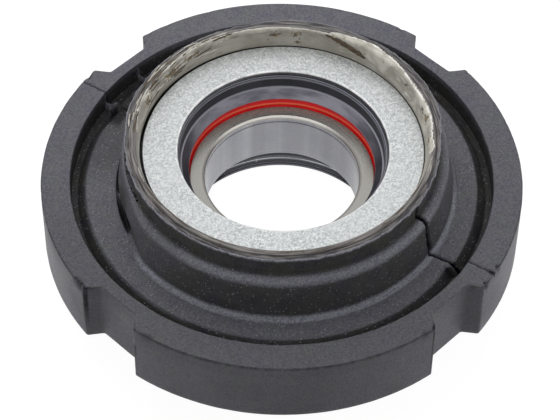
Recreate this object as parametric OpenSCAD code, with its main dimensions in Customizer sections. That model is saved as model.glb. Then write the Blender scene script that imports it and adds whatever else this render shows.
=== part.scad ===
// Driveshaft centre bearing: a sealed ball bearing pressed into a flared steel
// sleeve, with dust washers on both sides, bonded into a notched rubber cushion.
// The origin is the middle of the shaft bore, +Z runs along the shaft and +X through a notch.

/* [Ball bearing] */
// Diameter of the bore that the shaft presses into
bore_d = 60; // [50:0.5:64]
// Outside diameter of the ball bearing
bearing_od = 110; // [100:0.5:125]
// Width of the ball bearing
bearing_w = 22; // [20:0.1:30]
// Radius of the rounded edges of the bearing rings
ring_edge_r = 1.5; // [0.5:0.1:2]
// Number of balls
ball_count = 10; // [7:1:10]
// Thickness of the rings behind the bottoms of their races
race_wall = 4.4; // [2:0.1:6]
// Height from the circle of ball centres up to the outer ring's shoulders
outer_race_h = 5; // [4.4:0.05:6]
// Height from the circle of ball centres down to the inner ring's shoulders
inner_race_h = 4.75; // [4.2:0.05:6]
// Play between a ball and the bottom of each race
race_play = 0.15; // [0.05:0.01:0.3]
// How much larger the radius of the race grooves is than that of the balls
race_relief = 0.3; // [0.2:0.05:0.6]

/* [Ball cage] */
// Thickness of the pressed cage strip
cage_t = 0.8; // [0.5:0.1:0.9]
// Width of the cage strip along the bearing's radius
cage_w = 6.6; // [5:0.2:8]
// Room between the cage and the seal plates
cage_room = 0.5; // [0.2:0.1:1.5]
// Play between a ball and its pocket in the cage
pocket_play = 0.15; // [0.1:0.01:0.3]
// Diameter of the cage rivets
rivet_d = 2.4; // [1.6:0.1:3]
// Diameter of the rivet heads
rivet_head_d = 4.2; // [3.4:0.1:5]
// Height of the rivet heads
rivet_head_h = 0.9; // [0.5:0.1:1.4]

/* [Bearing seals] */
// Width of the seat for each seal plate in the outer ring
seal_seat_w = 1.7; // [1:0.1:3]
// Thickness of the seal plates
seal_plate_t = 1.2; // [0.8:0.1:1.3]
// Depth of the seal plates below the bearing's faces
seal_drop = 0.4; // [0.2:0.1:0.5]
// Width of the red sealing lips
seal_lip_w = 3.35; // [2:0.05:5]
// Width of the step on the inner ring that each lip runs on
lip_step_w = 1.75; // [1:0.05:2.5]
// Height of the sealing lips
seal_lip_h = 1.7; // [1.2:0.1:1.9]
// Play between a sealing lip and the inner ring
lip_play = 0.25; // [0.1:0.05:0.4]
// Thickness of the upright edge of each sealing lip
lip_edge_t = 0.6; // [0.4:0.05:1]

/* [Steel sleeve] */
// Wall of the sleeve
sleeve_t = 2.2; // [1.5:0.1:3]
// Depth of the dust washers below the ends of the sleeve
rim_depth = 8.1; // [6.5:0.1:14]
// Length of the flare at each end of the sleeve
flare_l = 6; // [3:0.5:6.4]
// How far each flare opens outwards
flare_r = 1.8; // [0.5:0.1:2.5]

/* [Dust washers] */
// Width of the galvanised washers
washer_w = 13.6; // [11:0.1:16]
// Thickness of the washers
washer_t = 1.9; // [1:0.1:3]
// Gap between the edge of a washer and the sleeve
washer_gap = 0.7; // [0.2:0.1:1.5]
// Height of the rubber spacer rings between bearing and washers
spacer_h = 13.2; // [8:0.2:18]
// How far the spacer rings show inside the washers
spacer_show = 1; // [0.5:0.1:2]
// How much the wall of each spacer ring closes in towards the bearing, on the radius
spacer_taper = 0.8; // [0.3:0.1:1.5]
// Share of a spacer ring's height at which its wall turns into a funnel
funnel_share = 0.6; // [0.5:0.05:0.7]
// Share of a spacer ring's height that the red lip reaches, at the funnel's foot
lip_share = 0.3; // [0.2:0.05:0.4]
// Height of the dust seal under the lower washer
dust_seal_h = 4.4; // [3:0.1:6]
// Thickness of the dust seal's disc
dust_seal_t = 2; // [1:0.1:2.6]
// Width of the dust seal's inner lip
dust_lip_w = 2.4; // [1:0.1:4]

/* [Rubber cushion] */
// Height of the cushion's outer ring
cushion_h = 29.2; // [26:0.2:40]
// How far the ring's middle lies below the bearing's middle
cushion_drop = 3.6; // [0:0.1:6]
// Width of the flat top of the outer ring
ring_w = 11.3; // [9:0.1:18]
// Width of the groove inside the outer ring
groove_w = 4.1; // [2.5:0.1:8]
// Depth of that groove
groove_depth = 9; // [6.5:0.1:11]
// Width of the flat web between the ridge and the groove
web_w = 9.6; // [6:0.1:20]
// Depth of the web below the ring's top
web_drop = 5.1; // [3:0.1:6]
// Height of the ridge at the foot of the hub
ridge_h = 0.8; // [0.3:0.1:1.6]
// Width of the ridge
ridge_w = 1.8; // [1:0.1:3]
// Thickness of rubber around the flare of the sleeve
neck_t = 0.8; // [0.5:0.1:2]
// Height of the neck below the lip
neck_h = 7; // [5:0.1:9]
// Width of the shoulder around the neck
shoulder_w = 4.4; // [3:0.1:6]
// How far the hub's wall spreads from the shoulder to its foot
hub_spread = 2.8; // [0.5:0.1:5]
// Thickness of the lip at the top of the neck
lip_h = 1.6; // [1:0.1:2.4]
// How far the lip stands out from the neck
lip_w = 1; // [0.5:0.1:2]
// Depth of the lip below the end of the sleeve
lip_drop = 0.8; // [0.4:0.1:1.6]

/* [Notches and slits] */
// Number of notches around the outer ring
notch_count = 4; // [3:1:6]
// Depth of each notch
notch_depth = 6.4; // [3:0.1:8]
// Width of a notch at its floor
notch_floor_w = 19; // [10:0.5:24]
// Width of a notch at its mouth
notch_mouth_w = 27; // [25:0.5:36]
// Radius in the corners of a notch
notch_corner_r = 1.5; // [0.5:0.1:3]
// Direction of the two opposite slits
slit_angle = 103; // [100:1:125]
// Width of each slit
slit_w = 0.7; // [0.4:0.1:1.5]
// Depth of each slit below the surface
slit_depth = 1.4; // [0.6:0.1:3]

/* [Hidden] */

$fn = 180;
// Straight pieces in each rounded corner of a section
corner_steps = 4;
// Largest share of a straight edge that one rounded corner may take
corner_share = 0.45;
// Overlap of a cutting tool past the face that it cuts
cut_past = 1;

// Ball bearing
bore_r = bore_d / 2;
bearing_r = bearing_od / 2;
bearing_half = bearing_w / 2;
seal_plate_top = bearing_half - seal_drop;
seal_seat_z = seal_plate_top - seal_plate_t;
pitch_r = (bore_r + bearing_r) / 2;
ball_room_in_rings = pitch_r - bore_r - race_wall - race_play;
ball_room_in_seals = seal_seat_z - cage_room - cage_t - pocket_play;
ball_r = min(ball_room_in_rings, ball_room_in_seals);
inner_shoulder_r = pitch_r - inner_race_h;
outer_shoulder_r = pitch_r + outer_race_h;
race_r = ball_r + race_relief;
inner_race_centre = pitch_r - ball_r - race_play + race_r;
outer_race_centre = pitch_r + ball_r + race_play - race_r;
ball_step = 360 / ball_count;
pocket_r = ball_r + pocket_play;

// Bearing seals
seal_lip_top = seal_plate_top + seal_drop / 2;
seal_lip_foot = seal_lip_top - seal_lip_h;
inner_face_r = inner_shoulder_r - lip_step_w;
seal_lip_in_r = inner_face_r + lip_play;
seal_plate_in_r = seal_lip_in_r + seal_lip_w;
seal_plate_r = outer_shoulder_r + seal_seat_w;
inner_step_z = seal_lip_foot - lip_play;
lip_edge_r = seal_lip_in_r + lip_edge_t;
lip_edge_top = bearing_half + lip_share * spacer_h;
lip_edge_round = lip_edge_t / 3;

// Stack inside the sleeve
washer_foot = bearing_half + spacer_h;
washer_top = washer_foot + washer_t;
washer_r = bearing_r - washer_gap;
washer_in_r = washer_r - washer_w;
spacer_in_r = washer_in_r - spacer_show;
funnel_r = spacer_in_r - spacer_taper;
funnel_z = bearing_half + funnel_share * spacer_h;
funnel_foot_r = lip_edge_r + lip_play;
washer_edge_r = washer_t / 6;
sleeve_end = washer_top + rim_depth;
sleeve_r = bearing_r + sleeve_t;
flare_start = sleeve_end - flare_l;
sleeve_edge_r = sleeve_t / 5;
dust_edge_r = dust_lip_w / 6;

// Rubber cushion, from the sleeve outwards
lip_top = sleeve_end - lip_drop;
neck_r = sleeve_r + flare_r + neck_t;
lip_r = neck_r + lip_w;
lip_foot = lip_top - lip_h;
shoulder_z = lip_foot - neck_h;
shoulder_r = neck_r + shoulder_w;
shoulder_round = shoulder_w / 2;
ridge_in_r = shoulder_r + hub_spread;
ridge_out_r = ridge_in_r + ridge_w;
groove_in_r = ridge_out_r + web_w;
groove_out_r = groove_in_r + groove_w;
groove_ramp_w = groove_w / 3;
cushion_r = groove_out_r + ring_w;
ring_top = cushion_h / 2 - cushion_drop;
ring_bottom = -cushion_h / 2 - cushion_drop;
ridge_slope_w = ridge_w / 4;
rubber_edge_r = 0.6;
rubber_small_r = 0.4;

// Notches
notch_floor_x = cushion_r - notch_depth;
notch_mouth_x = sqrt(pow(cushion_r, 2) - pow(notch_mouth_w / 2, 2));
notch_slope = (notch_mouth_w - notch_floor_w) / 2 / (notch_mouth_x - notch_floor_x);
notch_end_x = cushion_r + cut_past;
notch_end_half = notch_floor_w / 2 + notch_slope * (notch_end_x - notch_floor_x);

rubber_colour = [0.13, 0.13, 0.14];
steel_colour = [0.62, 0.64, 0.66];
sleeve_colour = [0.52, 0.5, 0.45];
zinc_colour = [0.78, 0.8, 0.8];
seal_colour = [0.4, 0.41, 0.42];
lip_colour = [0.75, 0.1, 0.1];

// Outline with rounded corners, from a list of [radius, height, corner radius]
function direction(a, b) = (b - a) / norm(b - a);
function flat_point(p) = [p[0], p[1]];
function corner_arc(a, b, c, r) =
    let (u = direction(b, a), v = direction(b, c))
    let (half = acos(min(1, max(-1, u * v))) / 2)
    let (reach = min(r / tan(half), corner_share * min(norm(a - b), norm(c - b))))
    let (radius = reach * tan(half))
    let (centre = b + direction([0, 0], u + v) * radius / sin(half))
    let (start = b + u * reach - centre, stop = b + v * reach - centre)
    let (a0 = atan2(start[1], start[0]))
    let (turn = atan2(start[0] * stop[1] - start[1] * stop[0], start * stop))
    [for (i = [0 : corner_steps])
        centre + radius * [cos(a0 + turn * i / corner_steps), sin(a0 + turn * i / corner_steps)]];
function rounded(points) =
    let (n = len(points))
    [for (i = [0 : n - 1])
        let (a = flat_point(points[(i + n - 1) % n]))
        let (b = flat_point(points[i]))
        let (c = flat_point(points[(i + 1) % n]))
        each points[i][2] > 0 ? corner_arc(a, b, c, points[i][2]) : [b]];
function mirrored(points) = [for (i = [len(points) - 1 : -1 : 0]) [points[i][0], -points[i][1], points[i][2]]];

// Solid turned about the shaft's axis from a rounded outline
module turned(points) {
    rotate_extrude() polygon(rounded(points));
}

// Copies at the places of the balls, turned by a share of their spacing
module around_balls(share = 0) {
    for (i = [0 : ball_count - 1])
        rotate((i + share) * ball_step)
            translate([pitch_r, 0, 0])
                children();
}

// Radius of the sleeve's outside at a height within its flare
function flare_outside(z) = sleeve_r + flare_r * (z - flare_start) / flare_l;

// One side of the cushion's section, for a ring face at the given height
function cushion_side(face) = [
    [sleeve_r, flare_start, 0],
    [flare_outside(lip_top), lip_top, 0],
    [lip_r, lip_top - lip_h / 4, rubber_small_r],
    [lip_r, lip_foot, rubber_small_r],
    [neck_r, lip_foot - lip_h / 4, rubber_edge_r],
    [neck_r, shoulder_z, rubber_edge_r],
    [shoulder_r, shoulder_z, shoulder_round],
    [ridge_in_r, face - web_drop + ridge_h, rubber_small_r],
    [ridge_out_r - ridge_slope_w, face - web_drop + ridge_h, rubber_small_r],
    [ridge_out_r, face - web_drop, rubber_small_r],
    [groove_in_r, face - web_drop, rubber_edge_r],
    [groove_in_r + groove_ramp_w, face - groove_depth, rubber_edge_r],
    [groove_out_r, face - groove_depth, rubber_edge_r],
    [groove_out_r, face, rubber_small_r],
    [cushion_r, face, rubber_edge_r]
];

module cushion_body() {
    turned(concat(cushion_side(ring_top), mirrored(cushion_side(-ring_bottom))));
}

module notch() {
    translate([0, 0, ring_bottom - cut_past])
        linear_extrude(cushion_h + 2 * cut_past)
            polygon(rounded([
                [notch_end_x, -notch_end_half, 0],
                [notch_end_x, notch_end_half, 0],
                [notch_floor_x, notch_floor_w / 2, notch_corner_r],
                [notch_floor_x, -notch_floor_w / 2, notch_corner_r]
            ]));
}

// Slit of even depth that follows the cushion's upper surface
module slit() {
    difference() {
        translate([ridge_in_r, -slit_w / 2, ring_top - groove_depth - slit_depth])
            cube([cushion_r + cut_past - ridge_in_r, slit_w, groove_depth + slit_depth + cut_past]);
        translate([0, 0, -slit_depth]) cushion_body();
    }
}

module rubber_cushion() {
    color(rubber_colour)
        difference() {
            cushion_body();
            for (i = [0 : notch_count - 1]) rotate(i * 360 / notch_count) notch();
            for (turn = [0, 180]) rotate(slit_angle + turn) slit();
        }
}

function sleeve_side() = [
    [bearing_r, flare_start, 0],
    [bearing_r + flare_r, sleeve_end, sleeve_edge_r],
    [sleeve_r + flare_r, sleeve_end, sleeve_edge_r],
    [sleeve_r, flare_start, 0]
];

module carrier_sleeve() {
    color(sleeve_colour) turned(concat(sleeve_side(), mirrored(sleeve_side())));
}

module upper_washer() {
    color(zinc_colour)
        turned([
            [washer_in_r, washer_foot, washer_edge_r],
            [washer_r, washer_foot, washer_edge_r],
            [washer_r, washer_top, washer_edge_r],
            [washer_in_r, washer_top, washer_edge_r]
        ]);
}

module lower_washer() {
    mirror([0, 0, 1]) upper_washer();
}

// Rubber ring that carries the washer, with a funnel that leads down to the red lip
module upper_spacer_ring() {
    color(rubber_colour)
        turned([
            [funnel_foot_r, bearing_half, 0],
            [bearing_r, bearing_half, 0],
            [bearing_r, washer_foot, 0],
            [spacer_in_r + rubber_edge_r, washer_foot, 0],
            [spacer_in_r, washer_foot - rubber_edge_r, 0],
            [funnel_r, funnel_z, 0],
            [funnel_foot_r, lip_edge_top, 0]
        ]);
}

module lower_spacer_ring() {
    mirror([0, 0, 1]) upper_spacer_ring();
}

// Rubber disc under the lower washer, with a lip turned down around the shaft
module lower_dust_seal() {
    color(rubber_colour)
        mirror([0, 0, 1])
            turned([
                [washer_in_r, washer_top, 0],
                [bearing_r, washer_top, 0],
                [bearing_r, washer_top + dust_seal_t, rubber_small_r],
                [washer_in_r + dust_lip_w, washer_top + dust_seal_t, rubber_small_r],
                [washer_in_r + dust_lip_w, washer_top + dust_seal_h, dust_edge_r],
                [washer_in_r, washer_top + dust_seal_h, dust_edge_r]
            ]);
}

function outer_ring_side() = [
    [outer_shoulder_r, seal_seat_z, 0],
    [seal_plate_r, seal_seat_z, 0],
    [seal_plate_r, bearing_half, 0],
    [bearing_r, bearing_half, ring_edge_r]
];

module bearing_outer_ring() {
    color(steel_colour)
        difference() {
            turned(concat(outer_ring_side(), mirrored(outer_ring_side())));
            rotate_extrude() translate([outer_race_centre, 0]) circle(race_r);
        }
}

function inner_ring_side() = [
    [bore_r, bearing_half, ring_edge_r],
    [inner_face_r, bearing_half, 0],
    [inner_face_r, inner_step_z, 0],
    [inner_shoulder_r, inner_step_z, 0]
];

module bearing_inner_ring() {
    color(steel_colour)
        difference() {
            turned(concat(inner_ring_side(), mirrored(inner_ring_side())));
            rotate_extrude() translate([inner_race_centre, 0]) circle(race_r);
        }
}

module ball(index) {
    color(steel_colour)
        rotate((index - 1) * ball_step)
            translate([pitch_r, 0, 0])
                sphere(ball_r);
}

// Flat ring of the cage strip's width, from the bearing's middle upwards
module cage_band(height) {
    difference() {
        cylinder(height, r = pitch_r + cage_w / 2);
        translate([0, 0, -cut_past]) cylinder(height + 2 * cut_past, r = pitch_r - cage_w / 2);
    }
}

// Bar along the bearing's radius that bends the cage strip around a ball
module pocket_bar(radius) {
    rotate([0, 90, 0]) cylinder(2 * cage_w, r = radius, center = true);
}

module cage_upper_half() {
    color(steel_colour)
        difference() {
            union() {
                cage_band(cage_t);
                intersection() {
                    cage_band(pocket_r + cage_t);
                    around_balls() pocket_bar(pocket_r + cage_t);
                }
            }
            around_balls() pocket_bar(pocket_r);
            around_balls(0.5) translate([0, 0, -cut_past]) cylinder(cage_t + 2 * cut_past, d = rivet_d);
        }
}

module cage_lower_half() {
    mirror([0, 0, 1]) cage_upper_half();
}

// One rivet between each pair of balls, with a head on both sides of the strip
module cage_rivets() {
    color(steel_colour)
        around_balls(0.5) {
            translate([0, 0, -cage_t]) cylinder(2 * cage_t, d = rivet_d);
            translate([0, 0, cage_t]) cylinder(rivet_head_h, d = rivet_head_d);
            translate([0, 0, -cage_t - rivet_head_h]) cylinder(rivet_head_h, d = rivet_head_d);
        }
}

module upper_seal_plate() {
    color(seal_colour)
        turned([
            [seal_plate_in_r, seal_seat_z, 0],
            [seal_plate_r, seal_seat_z, 0],
            [seal_plate_r, seal_plate_top, 0],
            [seal_plate_in_r, seal_plate_top, 0]
        ]);
}

module lower_seal_plate() {
    mirror([0, 0, 1]) upper_seal_plate();
}

module upper_seal_lip() {
    color(lip_colour)
        turned([
            [seal_lip_in_r, seal_lip_foot, 0],
            [seal_plate_in_r, seal_lip_foot, 0],
            [seal_plate_in_r, seal_lip_top, 0],
            [lip_edge_r, seal_lip_top, 0],
            [lip_edge_r, lip_edge_top, lip_edge_round],
            [seal_lip_in_r, lip_edge_top, lip_edge_round]
        ]);
}

module lower_seal_lip() {
    mirror([0, 0, 1]) upper_seal_lip();
}

rubber_cushion();
carrier_sleeve();
upper_washer();
lower_washer();
upper_spacer_ring();
lower_spacer_ring();
lower_dust_seal();
bearing_outer_ring();
bearing_inner_ring();
cage_upper_half();
cage_lower_half();
cage_rivets();
upper_seal_plate();
upper_seal_lip();
lower_seal_plate();
lower_seal_lip();
for (i = [1 : ball_count])
    ball(i);
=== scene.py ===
import math

import bpy
import numpy as np
from mathutils import Matrix, Vector, noise


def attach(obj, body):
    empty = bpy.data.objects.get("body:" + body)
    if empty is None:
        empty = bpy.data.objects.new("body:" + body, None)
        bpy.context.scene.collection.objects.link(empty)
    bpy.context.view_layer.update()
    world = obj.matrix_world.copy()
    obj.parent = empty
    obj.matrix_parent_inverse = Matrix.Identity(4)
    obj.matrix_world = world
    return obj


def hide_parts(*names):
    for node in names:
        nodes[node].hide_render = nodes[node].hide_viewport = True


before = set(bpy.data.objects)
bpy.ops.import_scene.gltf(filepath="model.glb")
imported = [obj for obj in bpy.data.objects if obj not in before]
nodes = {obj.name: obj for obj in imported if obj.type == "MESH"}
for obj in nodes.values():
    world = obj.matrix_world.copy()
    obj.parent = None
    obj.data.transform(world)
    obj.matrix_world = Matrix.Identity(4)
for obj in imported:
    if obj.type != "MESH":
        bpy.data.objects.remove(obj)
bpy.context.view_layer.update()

MM = 0.001


# Sizes in millimetres, read from the frame where a turned solid gives them
def reach(name):
    """Inner radius, outer radius, lowest and highest height of a solid turned about the shaft's axis."""
    mesh = nodes[name].data
    places = np.empty(len(mesh.vertices) * 3)
    mesh.vertices.foreach_get("co", places)
    places = places.reshape(-1, 3) / MM
    radius = np.hypot(places[:, 0], places[:, 1])
    return [float(v) for v in (radius.min(), radius.max(), places[:, 2].min(), places[:, 2].max())]


BORE_R, RING_R, _, BEARING_HALF = reach("bearing_inner_ring")
SLEEVE_IN, FLARE_OUT, FLOOR_Z, SLEEVE_END = reach("carrier_sleeve")
WASHER_IN, WASHER_OUT, WASHER_FOOT, WASHER_TOP = reach("upper_washer")
FUNNEL_FOOT_R, SPACER_OUT, _, _ = reach("upper_spacer_ring")
PLATE_IN, PLATE_OUT, PLATE_FOOT, PLATE_TOP = reach("upper_seal_plate")
LIP_IN, LIP_OUT, LIP_FOOT, LIP_TOP = reach("upper_seal_lip")
DUST_IN, DUST_OUT, DUST_END, DUST_START = reach("lower_dust_seal")
SLEEVE_OUT, CUSHION_R, _, NECK_TOP = reach("rubber_cushion")

FLARE_LENGTH = 6.0
FLARE_START = SLEEVE_END - FLARE_LENGTH
FLARE_IN = FLARE_OUT - (SLEEVE_OUT - SLEEVE_IN)
FLARE_SPREAD = FLARE_OUT - SLEEVE_OUT
RING_FACE_R = 36.0
RING_STEP_Z = 8.85
RACE_CENTRE, RACE_R = 42.65, 8.25
LIP_BASE_TOP, LIP_EDGE_R = 10.8, 36.85
FUNNEL_TOP_R, FUNNEL_R, FUNNEL_Z = 39.7, 38.9, 18.92
DUST_DISC_Z = -28.1
DUST_LIP_R = 43.1

NECK_R, NECK_LIP_R, NECK_LIP_H = 59.8, 60.8, 1.6
SHOULDER_R, SHOULDER_Z = 64.2, 24.8
RIDGE_IN, RIDGE_TOP_OUT, RIDGE_OUT, RIDGE_H = 67.0, 68.35, 68.8, 0.8
GROOVE_IN, GROOVE_FOOT, GROOVE_OUT = 78.4, 79.77, 82.5
GROOVE_SLOPE = 2.0
WEB_DROP, GROOVE_DEPTH = 5.1, 9.0
RING_TOP, RING_BOTTOM = 11.0, -18.2
NOTCH_FLOOR, NOTCH_HALF, MOUTH_HALF = 87.4, 9.5, 13.5
NOTCH_FOOT_SOFT, NOTCH_MOUTH_SOFT = 0.5, 0.25
NOTCH_REACH, FLANK_LEAST = 0.3, -0.05
SLIT_ANGLES = (103.0, 283.0)


# Scene helpers
def in_scene(name, data):
    """A new object, linked to the scene."""
    made = bpy.data.objects.new(name, data)
    bpy.context.scene.collection.objects.link(made)
    return made


def direction(angle, elevation):
    """Unit vector at an angle around the shaft's axis and an elevation, both in degrees."""
    turn, lift = math.radians(angle), math.radians(elevation)
    return Vector((math.cos(lift) * math.cos(turn), math.cos(lift) * math.sin(turn), math.sin(lift)))


# Camera, at the photograph's viewing angle
IMAGE_W, IMAGE_H = 560, 420
FOCAL_PX = 2415.07
TARGET = Vector((0, 0, 0.011))
TARGET_PX = (281.9, 174.63)
EYE_ANGLE, EYE_HEIGHT, EYE_DISTANCE, EYE_ROLL = -136.5, 49.304, 0.9413, -0.99
SENSOR_MM = 36.0


def place_camera():
    roll = math.radians(EYE_ROLL)
    back = direction(EYE_ANGLE, EYE_HEIGHT)
    level = Vector((0, 0, 1)).cross(back).normalized()
    upright = back.cross(level)
    right = level * math.cos(roll) - upright * math.sin(roll)
    up = level * math.sin(roll) + upright * math.cos(roll)
    facing = Matrix((right, up, back)).transposed()
    seen = Vector(((TARGET_PX[0] - IMAGE_W / 2) / FOCAL_PX, (IMAGE_H / 2 - TARGET_PX[1]) / FOCAL_PX, -1))
    aim = seen.rotation_difference(Vector((0, 0, -1))).to_matrix()
    data = bpy.data.cameras.new("camera")
    data.sensor_width = SENSOR_MM
    data.lens = FOCAL_PX * SENSOR_MM / IMAGE_W
    camera = in_scene("camera", data)
    camera.matrix_world = Matrix.Translation(TARGET + back * EYE_DISTANCE) @ (facing @ aim).to_4x4()
    bpy.context.scene.camera = camera


place_camera()
bpy.context.scene.view_settings.view_transform = "Standard"


# Node helpers
def add(tree, kind, inputs=None, **settings):
    """A new node, with its settings made and its inputs linked or set."""
    made = tree.nodes.new(kind)
    for name, value in settings.items():
        setattr(made, name, value)
    for name, value in (inputs or {}).items():
        if isinstance(value, bpy.types.NodeSocket):
            tree.links.new(value, made.inputs[name])
        else:
            made.inputs[name].default_value = value
    return made


def maths(tree, operation, first, second=0.0):
    return add(tree, "ShaderNodeMath", {0: first, 1: second}, operation=operation).outputs[0]


def fade(tree, value, start, stop):
    """0 below start, 1 above stop, and a smooth step between them."""
    limits = {"Value": value, "From Min": start, "From Max": stop}
    return add(tree, "ShaderNodeMapRange", limits, interpolation_type="SMOOTHSTEP").outputs[0]


def blend_colour(tree, share, first, second):
    return add(tree, "ShaderNodeMix", {0: share, 6: first, 7: second}, data_type="RGBA").outputs[2]


def object_place(tree):
    return add(tree, "ShaderNodeTexCoord").outputs["Object"]


def noise_texture(tree, place, scale, detail):
    return add(tree, "ShaderNodeTexNoise", {"Vector": place, "Scale": scale, "Detail": detail}).outputs[0]


def long_side(tree, first, second):
    """Long side of a right triangle, from its two short sides."""
    squares = [maths(tree, "MULTIPLY", side, side) for side in (first, second)]
    return maths(tree, "SQRT", maths(tree, "ADD", *squares))


def marked_share(tree, label):
    """A value that a piece keeps at its points, such as its darker stretches."""
    return add(tree, "ShaderNodeAttribute", attribute_name=label).outputs["Fac"]


def tone(red, green, blue):
    """Linear colour of a screen colour from 0 to 255."""
    linear = [v / 255 / 12.92 if v <= 10 else ((v / 255 + 0.055) / 1.055) ** 2.4 for v in (red, green, blue)]
    return (*linear, 1.0)


# Shader groups that several finishes share
COARSE_SCALE, COARSE_HEIGHT = 0.22, 0.7
WEAR_FROM, WEAR_TO = 0.3, 0.62


def shader_group(name, inputs, output):
    tree = bpy.data.node_groups.new(name, "ShaderNodeTree")
    for label, value in inputs.items():
        tree.interface.new_socket(label, in_out="INPUT", socket_type="NodeSocketFloat").default_value = value
    tree.interface.new_socket(output, in_out="OUTPUT", socket_type="NodeSocketFloat")
    return tree, add(tree, "NodeGroupInput").outputs, add(tree, "NodeGroupOutput").inputs


def make_clouds():
    """Soft patches of a given scale, from 0 to 1."""
    tree, given, result = shader_group("Clouds", {"Scale": 60.0, "Softness": 0.15}, "Mask")
    patches = noise_texture(tree, object_place(tree), given["Scale"], 5.0)
    start = maths(tree, "SUBTRACT", 0.5, given["Softness"])
    stop = maths(tree, "ADD", 0.5, given["Softness"])
    tree.links.new(fade(tree, patches, start, stop), result[0])
    return tree


def make_grain():
    """Height of a moulded or rolled surface's fine grain."""
    tree, given, result = shader_group("Grain", {"Scale": 900.0}, "Height")
    place = object_place(tree)
    fine = noise_texture(tree, place, given["Scale"], 3.0)
    coarse = noise_texture(tree, place, maths(tree, "MULTIPLY", given["Scale"], COARSE_SCALE), 2.0)
    tree.links.new(maths(tree, "ADD", maths(tree, "MULTIPLY", coarse, COARSE_HEIGHT), fine), result[0])
    return tree


def make_specks():
    """Small separate specks, on a given share of the cells of a pattern."""
    tree, given, result = shader_group("Specks", {"Scale": 500.0, "Share": 0.1, "Size": 0.3}, "Mask")
    cells = add(tree, "ShaderNodeTexVoronoi", {"Vector": object_place(tree), "Scale": given["Scale"]})
    chance = add(tree, "ShaderNodeSeparateColor", {"Color": cells.outputs["Color"]}).outputs[0]
    chosen = maths(tree, "LESS_THAN", chance, given["Share"])
    half = maths(tree, "MULTIPLY", given["Size"], 0.5)
    spot = maths(tree, "SUBTRACT", 1.0, fade(tree, cells.outputs["Distance"], half, given["Size"]))
    tree.links.new(maths(tree, "MULTIPLY", spot, chosen), result[0])
    return tree


def make_turning_marks():
    """Streaks that run around the shaft's axis, long along the circle and narrow across it."""
    tree, given, result = shader_group("Turning marks", {"Around": 3.0, "Across": 900.0}, "Mask")
    along = add(tree, "ShaderNodeSeparateXYZ", {0: object_place(tree)}).outputs
    radius = maths(tree, "MAXIMUM", long_side(tree, along[0], along[1]), MM)
    parts = {2: maths(tree, "MULTIPLY", maths(tree, "ADD", along[2], radius), given["Across"])}
    for axis in (0, 1):
        parts[axis] = maths(tree, "MULTIPLY", maths(tree, "DIVIDE", along[axis], radius), given["Around"])
    place = add(tree, "ShaderNodeCombineXYZ", parts).outputs[0]
    tree.links.new(noise_texture(tree, place, 1.0, 3.0), result[0])
    return tree


def make_edge_wear_and_highlight():
    """Broken pale marks along the edges that a piece marks: wear, and on some finishes a painted highlight.
    """
    tree, given, result = shader_group("Edge wear", {"Scale": 400.0}, "Mask")
    broken = noise_texture(tree, object_place(tree), given["Scale"], 2.0)
    worn = fade(tree, broken, WEAR_FROM, WEAR_TO)
    tree.links.new(maths(tree, "MULTIPLY", marked_share(tree, "edge"), worn), result[0])
    return tree


def effect(tree, group, **values):
    return add(tree, "ShaderNodeGroup", values, node_tree=group).outputs[0]


# Brown stains on the sleeve's rim: angle and spread in degrees, height and depth in millimetres
RIM_STAINS = (
    (38.4, 2.0, 31.6, 1.6),
    (37.5, 2.2, 28.5, 0.7),
    (47.0, 3.0, 31.4, 0.7),
    (11.0, 2.6, 31.0, 0.7),
    (-16.3, 1.5, 32.6, 0.7),
    (-30.5, 1.8, 33.0, 0.9),
    (-35.5, 2.2, 33.2, 1.2),
    (-46.5, 1.8, 32.6, 1.6),
    (113.5, 3.2, 31.6, 1.6),
    (95.0, 4.5, 31.0, 1.2),
    (84.0, 4.0, 32.0, 0.8),
)
STAIN_GRAIN, STAIN_FALL = 750.0, 0.2
STAIN_FROM, STAIN_TO = 0.3, 0.4


def make_stain():
    """Broken spots around one place on the rim: its angle and height, and how far they spread."""
    sizes = {"Angle": 0.0, "Spread": 3.0, "Height": 31 * MM, "Depth": 1 * MM}
    tree, given, result = shader_group("Stain", sizes, "Mask")
    place = object_place(tree)
    along = add(tree, "ShaderNodeSeparateXYZ", {0: place}).outputs
    turn = maths(tree, "DEGREES", maths(tree, "ARCTAN2", along[1], along[0]))
    around = maths(tree, "DIVIDE", maths(tree, "SUBTRACT", turn, given["Angle"]), given["Spread"])
    upward = maths(tree, "DIVIDE", maths(tree, "SUBTRACT", along[2], given["Height"]), given["Depth"])
    loss = maths(tree, "MULTIPLY", long_side(tree, around, upward), STAIN_FALL)
    left = maths(tree, "SUBTRACT", noise_texture(tree, place, STAIN_GRAIN, 3.0), loss)
    tree.links.new(fade(tree, left, STAIN_FROM, STAIN_TO), result[0])
    return tree


def make_rim_stains(stain):
    tree, _, result = shader_group("Rim stains", {}, "Mask")
    whole = 0.0
    for angle, spread, height, depth in RIM_STAINS:
        spot = effect(tree, stain, Angle=angle, Spread=spread, Height=height * MM, Depth=depth * MM)
        whole = maths(tree, "MAXIMUM", spot, whole)
    tree.links.new(whole, result[0])
    return tree


CLOUDS, GRAIN, SPECKS = make_clouds(), make_grain(), make_specks()
TURNING_MARKS, EDGE_WEAR_AND_HIGHLIGHT = make_turning_marks(), make_edge_wear_and_highlight()
STAINS = make_rim_stains(make_stain())


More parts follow.
